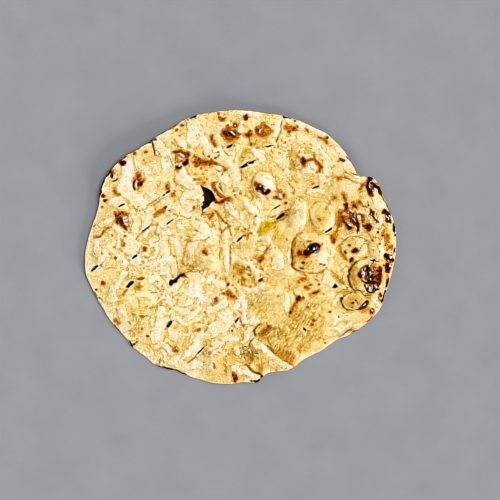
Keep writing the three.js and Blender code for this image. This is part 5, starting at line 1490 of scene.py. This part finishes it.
def paint_roti(bread):
    """Named fields on the points that the crust's material reads."""
    mesh = bread.data
    plan = triples(mesh.vertices, "co")[:, :2] / MM
    normals = triples(mesh.vertices, "normal")
    upper = smooth_step(*FACES_OUT, normals[:, 2])
    placed, strewn = plate_field(plan)
    thread, thread_depth = thread_fields(plan)
    speck, speck_depth = speck_fields(plan)
    # Slopes that face west, away from the key lamp, are painted a deeper gold: painted shade.
    west = np.clip(-WEST_SHADE_GAIN * normals[:, 0], 0, 1)
    upper_fields = {
        "scorch": scorch_field(plan),
        "thread_depth": thread_depth,
        "speck_depth": speck_depth,
        "flake_and_highlight": flake_and_highlight_field(plan),
        "pale": np.maximum(placed, LOOSE_PALENESS * strewn),
        "toast": ovals_field(plan, TOASTED),
        "flour": ovals_field(plan, FLOURED),
        "butter": ovals_field(plan, BUTTER),
        "hatch": ovals_field(plan, HATCHED),
        "crust": ovals_field(wander(plan, CRACKED_WANDER), CRACKED),
        "crest": crest_field(mesh),
        "painted_west_shade": west * smooth_step(*WEST_SHADE_INLAND, gap_to_edge(plan)),
    }
    fields = {name: values * upper for name, values in upper_fields.items()}
    fields |= {"thread": thread, "speck": speck, "underside": 1 - upper}
    for name, values in fields.items():
        mesh.attributes.new(name, "FLOAT", "POINT").data.foreach_set("value", values)


def burn_and_shade_cuts(bread):
    """Give the slits' walls and the tears' insides the burnt material, in the second slot: char and painted
    shade.
    """
    mesh = bread.data
    middles = triples(mesh.polygons, "center") / MM
    plan = middles[:, :2]
    height = middles[:, 2]
    up = triples(mesh.polygons, "normal")[:, 2]
    wall = np.abs(up) < STEEP
    slit_wall = wall & (gap_to_edge(plan) > RIM_KEPT)
    burnt = np.zeros(len(plan), int)
    for x, y, length, width, turn in SLITS:
        half_size = length / 2 + SLIT_END_SPARE, width / 2 + SLIT_SIDE_SPARE
        burnt[slit_wall & (away_from_oval(plan, x, y, *half_size, turn) < 1)] = 1
    tear_wall = (wall | (height < SHEET_THICKNESS - SKIN)) & (up > -STEEP)
    for outline in TEARS:
        near = away_from_line(plan, outline + outline[:1]) < TEAR_SPARE
        hollow = inside(plan, outline) | (near & tear_wall)
        burnt[hollow & (height > LOWEST_BURN)] = 1
    mesh.polygons.foreach_set("material_index", burnt)


def tone(red, green, blue):
    """A colour as a screen shows it, 0 to 255, as the linear colour that a shader takes."""
    shares = [value / 255 for value in (red, green, blue)]
    return tuple(s / 12.92 if s <= 0.04045 else ((s + 0.055) / 1.055) ** 2.4 for s in shares) + (1.0,)


class Nodes:
    """Short ways to add and join the nodes of one material or node group."""

    def __init__(self, tree):
        self.tree = tree

    def add(self, kind, inputs=(), **settings):
        node = self.tree.nodes.new(kind)
        for name, value in settings.items():
            setattr(node, name, value)
        for name, value in dict(inputs).items():
            self.feed(node.inputs[name], value)
        return node

    def feed(self, socket, value):
        if isinstance(value, bpy.types.NodeSocket):
            self.tree.links.new(value, socket)
        else:
            socket.default_value = value

    def math(self, operation, first, second=0.0, third=0.0):
        node = self.add("ShaderNodeMath", operation=operation)
        for socket, value in zip(node.inputs, (first, second, third)):
            self.feed(socket, value)
        return node.outputs[0]

    def chain(self, operation, values):
        result = values[0]
        for value in values[1:]:
            result = self.math(operation, result, value)
        return result

    def total(self, *values):
        return self.chain("ADD", values)

    def product(self, *values):
        return self.chain("MULTIPLY", values)

    def weigh(self, start, parts):
        """A start value with each part times its gain added to it."""
        for value, gain in parts:
            start = self.math("MULTIPLY_ADD", value, gain, start)
        return start

    def rest(self, share):
        return self.math("SUBTRACT", 1.0, share)

    def mix(self, share, first, second, blend="MIX"):
        node = self.add("ShaderNodeMix", data_type="RGBA", blend_type=blend)
        for socket, value in zip((node.inputs[0], node.inputs[6], node.inputs[7]), (share, first, second)):
            self.feed(socket, value)
        return node.outputs[2]

    def ramp(self, share, stops):
        """A colour ramp through tones as a screen shows them."""
        node = self.add("ShaderNodeValToRGB", {"Fac": share})
        elements = node.color_ramp.elements
        while len(elements) < len(stops):
            elements.new(0.5)
        for element, (position, colour) in zip(elements, stops):
            element.position = position
            element.color = tone(*colour)
        return node.outputs["Color"]

    def band(self, value, low, high, start=0.0, end=1.0):
        """The value carried from one range to another, and held at its ends."""
        inputs = {"Value": value, "From Min": low, "From Max": high, "To Min": start, "To Max": end}
        return self.add("ShaderNodeMapRange", inputs).outputs["Result"]

    def swing(self, value, amount):
        """A value from 0 to 1 carried to as much below zero as above it."""
        return self.band(value, 0, 1, -amount, amount)

    def field(self, name):
        return self.add("ShaderNodeAttribute", attribute_name=name).outputs["Fac"]

    def spread(self, group, grains):
        node = self.add("ShaderNodeGroup", node_tree=group)
        node.inputs[0].default_value = grains
        return node.outputs[0]


def pattern_group(name, label):
    """A node group that takes a grain and gives one value: the group, its nodes, both ends, and the place."""
    group = bpy.data.node_groups.new(name, "ShaderNodeTree")
    grain = group.interface.new_socket("Grains per metre", in_out="INPUT", socket_type="NodeSocketFloat")
    grain.default_value = USUAL_GRAINS
    group.interface.new_socket(label, in_out="OUTPUT", socket_type="NodeSocketFloat")
    nodes = Nodes(group)
    entry = nodes.add("NodeGroupInput")
    leave = nodes.add("NodeGroupOutput")
    place = nodes.add("ShaderNodeTexCoord").outputs["Object"]
    return group, nodes, entry, leave, place


def mottle_group():
    """A node group: an even mottle over the piece, from 0 to 1, at a named grain."""
    group, nodes, entry, leave, place = pattern_group("mottle", "Mottle")
    inputs = {"Vector": place, "Scale": entry.outputs[0], "Detail": 3.0, "Roughness": 0.6}
    clouds = nodes.add("ShaderNodeTexNoise", inputs)
    nodes.feed(leave.inputs[0], nodes.band(clouds.outputs["Fac"], *MOTTLE_BAND))
    return group


def vein_group():
    """A node group: thin wandering veins, 1 along each vein and 0 between them, at a named grain."""
    group, nodes, entry, leave, place = pattern_group("veins", "Veins")
    inputs = {"Vector": place, "Scale": entry.outputs[0], "Detail": 2.0, "Roughness": 0.55, "Distortion": 0.5}
    waves = nodes.add("ShaderNodeTexNoise", inputs)
    away = nodes.math("ABSOLUTE", nodes.math("SUBTRACT", waves.outputs["Fac"], 0.5))
    nodes.feed(leave.inputs[0], nodes.band(away, 0.0, VEIN_HALF, 1, 0))
    return group


def streak_group():
    """A node group: short streaks that run up to the right, from 0 to 1, at a named grain."""
    group, nodes, entry, leave, place = pattern_group("streaks", "Streaks")
    inputs = {"Vector": place, "Angle": math.radians(STREAK_TURN)}
    turned = nodes.add("ShaderNodeVectorRotate", inputs, rotation_type="Z_AXIS")
    inputs = {0: turned.outputs["Vector"], 1: STREAK_DRAWN}
    drawn = nodes.add("ShaderNodeVectorMath", inputs, operation="MULTIPLY")
    inputs = {"Vector": drawn.outputs["Vector"], "Scale": entry.outputs[0], "Detail": 2.0}
    clouds = nodes.add("ShaderNodeTexNoise", inputs)
    nodes.feed(leave.inputs[0], nodes.band(clouds.outputs["Fac"], *STREAK_RANGE))
    return group


def new_material(name):
    """A new material and its shader."""
    material = bpy.data.materials.new(name)
    material.use_nodes = True
    material.node_tree.nodes.clear()
    nodes = Nodes(material.node_tree)
    shader = nodes.add("ShaderNodeBsdfPrincipled")
    leave = nodes.add("ShaderNodeOutputMaterial")
    nodes.feed(leave.inputs["Surface"], shader.outputs["BSDF"])
    return material, shader


class Crust(Nodes):
    """The colours and the small relief of the baked face, built from painted fields and shared patterns."""

    def __init__(self, tree, mottle, veins, streaks):
        super().__init__(tree)
        self.fine = self.spread(mottle, FINE_GRAINS)
        self.grit = self.spread(mottle, GRIT_GRAINS)
        self.small = self.spread(mottle, SMALL_GRAINS)
        self.patches = self.spread(mottle, PATCH_GRAINS)
        self.broad = self.spread(mottle, BROAD_GRAINS)
        self.below = self.spread(mottle, UNDERSIDE_GRAINS)
        self.wrinkles = self.spread(veins, WRINKLE_GRAINS)
        self.glints = self.spread(veins, GLINT_GRAINS)
        self.folds = self.spread(veins, FOLD_GRAINS)
        streaked = self.band(self.spread(streaks, STREAK_GRAINS), *STREAKS_SHOW)
        self.hatching = self.product(self.field("hatch"), streaked)
        self.toast = self.field("toast")
        self.cracked = self.field("crust")
        self.jitter = self.total(self.swing(self.fine, FINE_JITTER), self.swing(self.small, SMALL_JITTER))
        self.level = self.total(self.field("pale"), self.jitter)
        self.plates = self.pale_plates()
        self.scorch = self.scorching()

    def pale_plates(self):
        """The pale plates, soft in some patches and firm in others."""
        firm = self.band(self.patches, *PATCHES_FIRM)
        soft_plates = self.product(self.band(self.level, *SOFT_PLATE), self.rest(firm))
        return self.weigh(soft_plates, [(self.band(self.level, *FIRM_PLATE), firm)])

    def scorching(self):
        """How far the baking went, with uneven edges, and with small specks where the skin is toasted."""
        below = self.product(self.field("underside"), self.band(self.below, *UNDERSIDE_BAKED))
        marks = self.math("MAXIMUM", self.field("scorch"), below)
        uneven = self.total(self.swing(self.fine, SCORCH_FINE), self.swing(self.small, SCORCH_SMALL))
        crackle = self.total(self.swing(self.grit, CRACKLE_GRIT), self.swing(self.fine, CRACKLE_FINE))
        uneven = self.weigh(uneven, [(crackle, self.cracked)])
        uneven_marks = self.weigh(marks, [(uneven, self.band(marks, *SCORCH_BITE))])
        toasted = self.band(self.toast, 0, 1, BARE_SPECKS, 1)
        specks = self.product(self.band(self.fine, *TOAST_SPECKS), toasted)
        return self.math("MAXIMUM", uneven_marks, specks)

    def dough(self):
        """The dough without scorching: deep gold to floury white, and yellow where butter soaked in."""
        # The seams round the plates are dark lines, partly painted shade below the plates' steps.
        beside_seam = self.math("ABSOLUTE", self.math("SUBTRACT", self.level, SEAM_LEVEL))
        seams_and_shade = self.product(self.band(beside_seam, 0, SEAM_HALF, 1, 0), self.band(self.grit, *SEAM_BREAKS))
        # The creases of the folds are painted darker: painted shade.
        creased = self.product(self.folds, self.band(self.patches, *PATCHES_CREASED))
        # Crests are painted paler as painted highlight and hollows a deeper gold as painted shade; the
        # hatching and the wrinkles are painted darker as painted shade.
        paleness = self.weigh(PLAIN_DOUGH, [
            (self.field("crest"), CREST_PAINTED_LIGHT_AND_SHADE), (self.plates, PLATE_PALE), (self.toast, TOAST_PALE),
            (self.field("flour"), FLOUR_PALE), (seams_and_shade, SEAM_AND_SHADE_PALE), (self.field("painted_west_shade"), WEST_SHADE_PALE),
            (creased, CREASE_SHADE_PALE), (self.hatching, HATCH_PALE), (self.wrinkles, WRINKLE_PALE),
        ])
        swings = [(self.broad, BROAD_SWING), (self.patches, PATCH_SWING), (self.small, SMALL_SWING)]
        grain = self.product(self.swing(self.fine, FINE_SWING), self.band(self.plates, 0, 1, 1, PLATE_GRAIN))
        paleness = self.total(paleness, *(self.swing(*swing) for swing in swings), grain)
        soaked = self.total(
            self.field("butter"), self.swing(self.grit, BUTTER_GRIT), self.swing(self.patches, BUTTER_PATCHES)
        )
        dough = self.ramp(paleness, DOUGH_TONES)
        return self.mix(self.band(soaked, *BUTTER_EDGE), dough, tone(*BUTTER_TONE), "MULTIPLY")

    def add_scorching(self, colour):
        return self.mix(self.band(self.scorch, *BROWN_EDGE), colour, self.ramp(self.scorch, BROWN_TONES))

    def add_threads(self, colour):
        """Thin scorched lines, broken where they are faint."""
        depth = self.field("thread_depth")
        across = self.math("ABSOLUTE", self.field("thread"))
        across = self.total(across, self.swing(self.small, THREAD_RAGGED))
        breaks = self.product(self.band(self.grit, *THREAD_BREAKS), self.band(depth, *FAINT_THREAD))
        drawn = self.product(self.band(across, *THREAD_EDGE), self.rest(breaks))
        share = self.product(drawn, self.band(depth, *MARK_SHOWS))
        return self.mix(share, colour, self.ramp(depth, SINGED_TONES))

    def add_specks(self, colour):
        """Small scorched specks with crisp edges."""
        depth = self.field("speck_depth")
        out = self.total(self.field("speck"), self.jitter)
        share = self.product(self.band(out, *SPECK_EDGE), self.band(depth, *MARK_SHOWS))
        singed = self.ramp(self.total(depth, self.swing(self.fine, SPECK_SWING)), SINGED_TONES)
        return self.mix(share, colour, singed)

    def add_flakes_and_highlights(self, colour):
        """White flakes, partly painted highlights, and glints along the char's cracks, which are painted
        highlights.
        """
        flakes = self.band(self.total(self.field("flake_and_highlight"), self.jitter), *FLAKE_SHOWS)
        glints = self.product(
            self.band(self.glints, *GLINT_VEINS),
            self.band(self.cracked, *GLINT_CRUST),
            self.band(self.small, *GLINT_BREAKS),
        )
        share = self.product(self.math("MAXIMUM", flakes, glints), FLAKE_SHARE)
        return self.mix(share, colour, tone(*FLAKE_AND_HIGHLIGHT_TONE))

    def add_pits(self, colour):
        """The shade of pits, wrinkles and hatching."""
        shade = self.product(
            self.band(self.fine, *PIT_SHADE),
            self.band(self.wrinkles, 0, 1, 1, WRINKLE_SHADE),
            self.band(self.hatching, 0, 1, 1, HATCH_SHADE),
        )
        shaded = self.add("ShaderNodeVectorMath", {0: colour, "Scale": shade}, operation="SCALE")
        return shaded.outputs["Vector"]

    def colour(self):
        colour = self.dough()
        for add in (self.add_scorching, self.add_threads, self.add_specks, self.add_flakes_and_highlights, self.add_pits):
            colour = add(colour)
        return colour

    def roughness(self):
        """Dry crust, a little smoother where it is charred."""
        charred = self.band(self.scorch, *CHAR_SHOWS)
        return self.weigh(CRUST_ROUGHNESS, [(charred, CHAR_ROUGHNESS)])

    def normal(self):
        """The small relief of grain, wrinkles, plates and folds."""
        relief = self.weigh(0.0, [
            (self.fine, FINE_BUMP), (self.small, SMALL_BUMP), (self.wrinkles, WRINKLE_BUMP),
            (self.plates, PLATE_BUMP), (self.folds, FOLD_BUMP),
        ])
        inputs = {"Height": relief, "Strength": BUMP_STRENGTH, "Distance": BUMP_HEIGHT * MM}
        return self.add("ShaderNodeBump", inputs).outputs["Normal"]


def crust_material(mottle, veins, streaks):
    """The baked face: pale plates, hollows painted golden as painted shade, scorching, white flakes and
    soaked butter.
    """
    material, shader = new_material("baked_crust")
    crust = Crust(material.node_tree, mottle, veins, streaks)
    crust.feed(shader.inputs["Base Color"], crust.colour())
    crust.feed(shader.inputs["Roughness"], crust.roughness())
    crust.feed(shader.inputs["Normal"], crust.normal())
    shader.inputs["Specular IOR Level"].default_value = CRUST_SPECULAR
    return material


def mottled_material(name, mottle, grains, tones, roughness, specular):
    material, shader = new_material(name)
    nodes = Nodes(material.node_tree)
    nodes.feed(shader.inputs["Base Color"], nodes.ramp(nodes.spread(mottle, grains), tones))
    shader.inputs["Roughness"].default_value = roughness
    shader.inputs["Specular IOR Level"].default_value = specular
    return material


def lay_table(mottle):
    bpy.ops.object.select_all(action="DESELECT")
    bpy.ops.mesh.primitive_plane_add(size=TABLE_SIZE, location=(0, 0, -TABLE_DROP * MM))
    table = bpy.context.object
    table.name = "table"
    table.data.materials.append(mottled_material("pale_table", mottle, *TABLE))
    return table


def hang_sun(name, strength, softness, elevation, bearing):
    """A soft distant lamp, with its angles in degrees."""
    lamp = bpy.data.lights.new(name, "SUN")
    lamp.energy = strength
    lamp.angle = math.radians(softness)
    holder = bpy.data.objects.new(name, lamp)
    holder.rotation_euler = (0, math.radians(90 - elevation), math.radians(bearing))
    bpy.context.scene.collection.objects.link(holder)
    return holder


def light_studio(table):
    """A soft key in the east, an even pale surround, and a low wide fill that only lights the table."""
    hang_sun("key", *KEY)
    fill = hang_sun("low_fill", *FILL)
    lit = bpy.data.collections.new("lit_by_fill")
    lit.objects.link(table)
    fill.light_linking.receiver_collection = lit
    world = bpy.data.worlds.new("surround")
    world.use_nodes = True
    background = world.node_tree.nodes["Background"]
    background.inputs["Color"].default_value = (1, 1, 1, 1)
    background.inputs["Strength"].default_value = SURROUND_STRENGTH
    bpy.context.scene.world = world
    bpy.context.scene.view_settings.view_transform = "Standard"
    bpy.context.scene.cycles.filter_width = FILM_FILTER


def set_camera():
    camera = bpy.data.cameras.new("overhead_camera")
    camera.lens = LENS
    camera.sensor_width = SENSOR
    camera.clip_start = CLIP_START * MM
    holder = bpy.data.objects.new("overhead_camera", camera)
    height = VIEW_WIDTH * LENS / SENSOR + SHEET_THICKNESS
    holder.location = (VIEW_MIDDLE[0] * MM, VIEW_MIDDLE[1] * MM, height * MM)
    bpy.context.scene.collection.objects.link(holder)
    bpy.context.scene.camera = holder


set_camera()
mottled = mottle_group()
roti = shape_roti()
paint_roti(roti)
roti.data.materials.append(crust_material(mottled, vein_group(), streak_group()))
roti.data.materials.append(mottled_material("burnt_and_shaded_inside", mottled, *SOOT_AND_SHADE))
burn_and_shade_cuts(roti)
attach(roti, "root")
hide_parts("roti")
light_studio(lay_table(mottled))
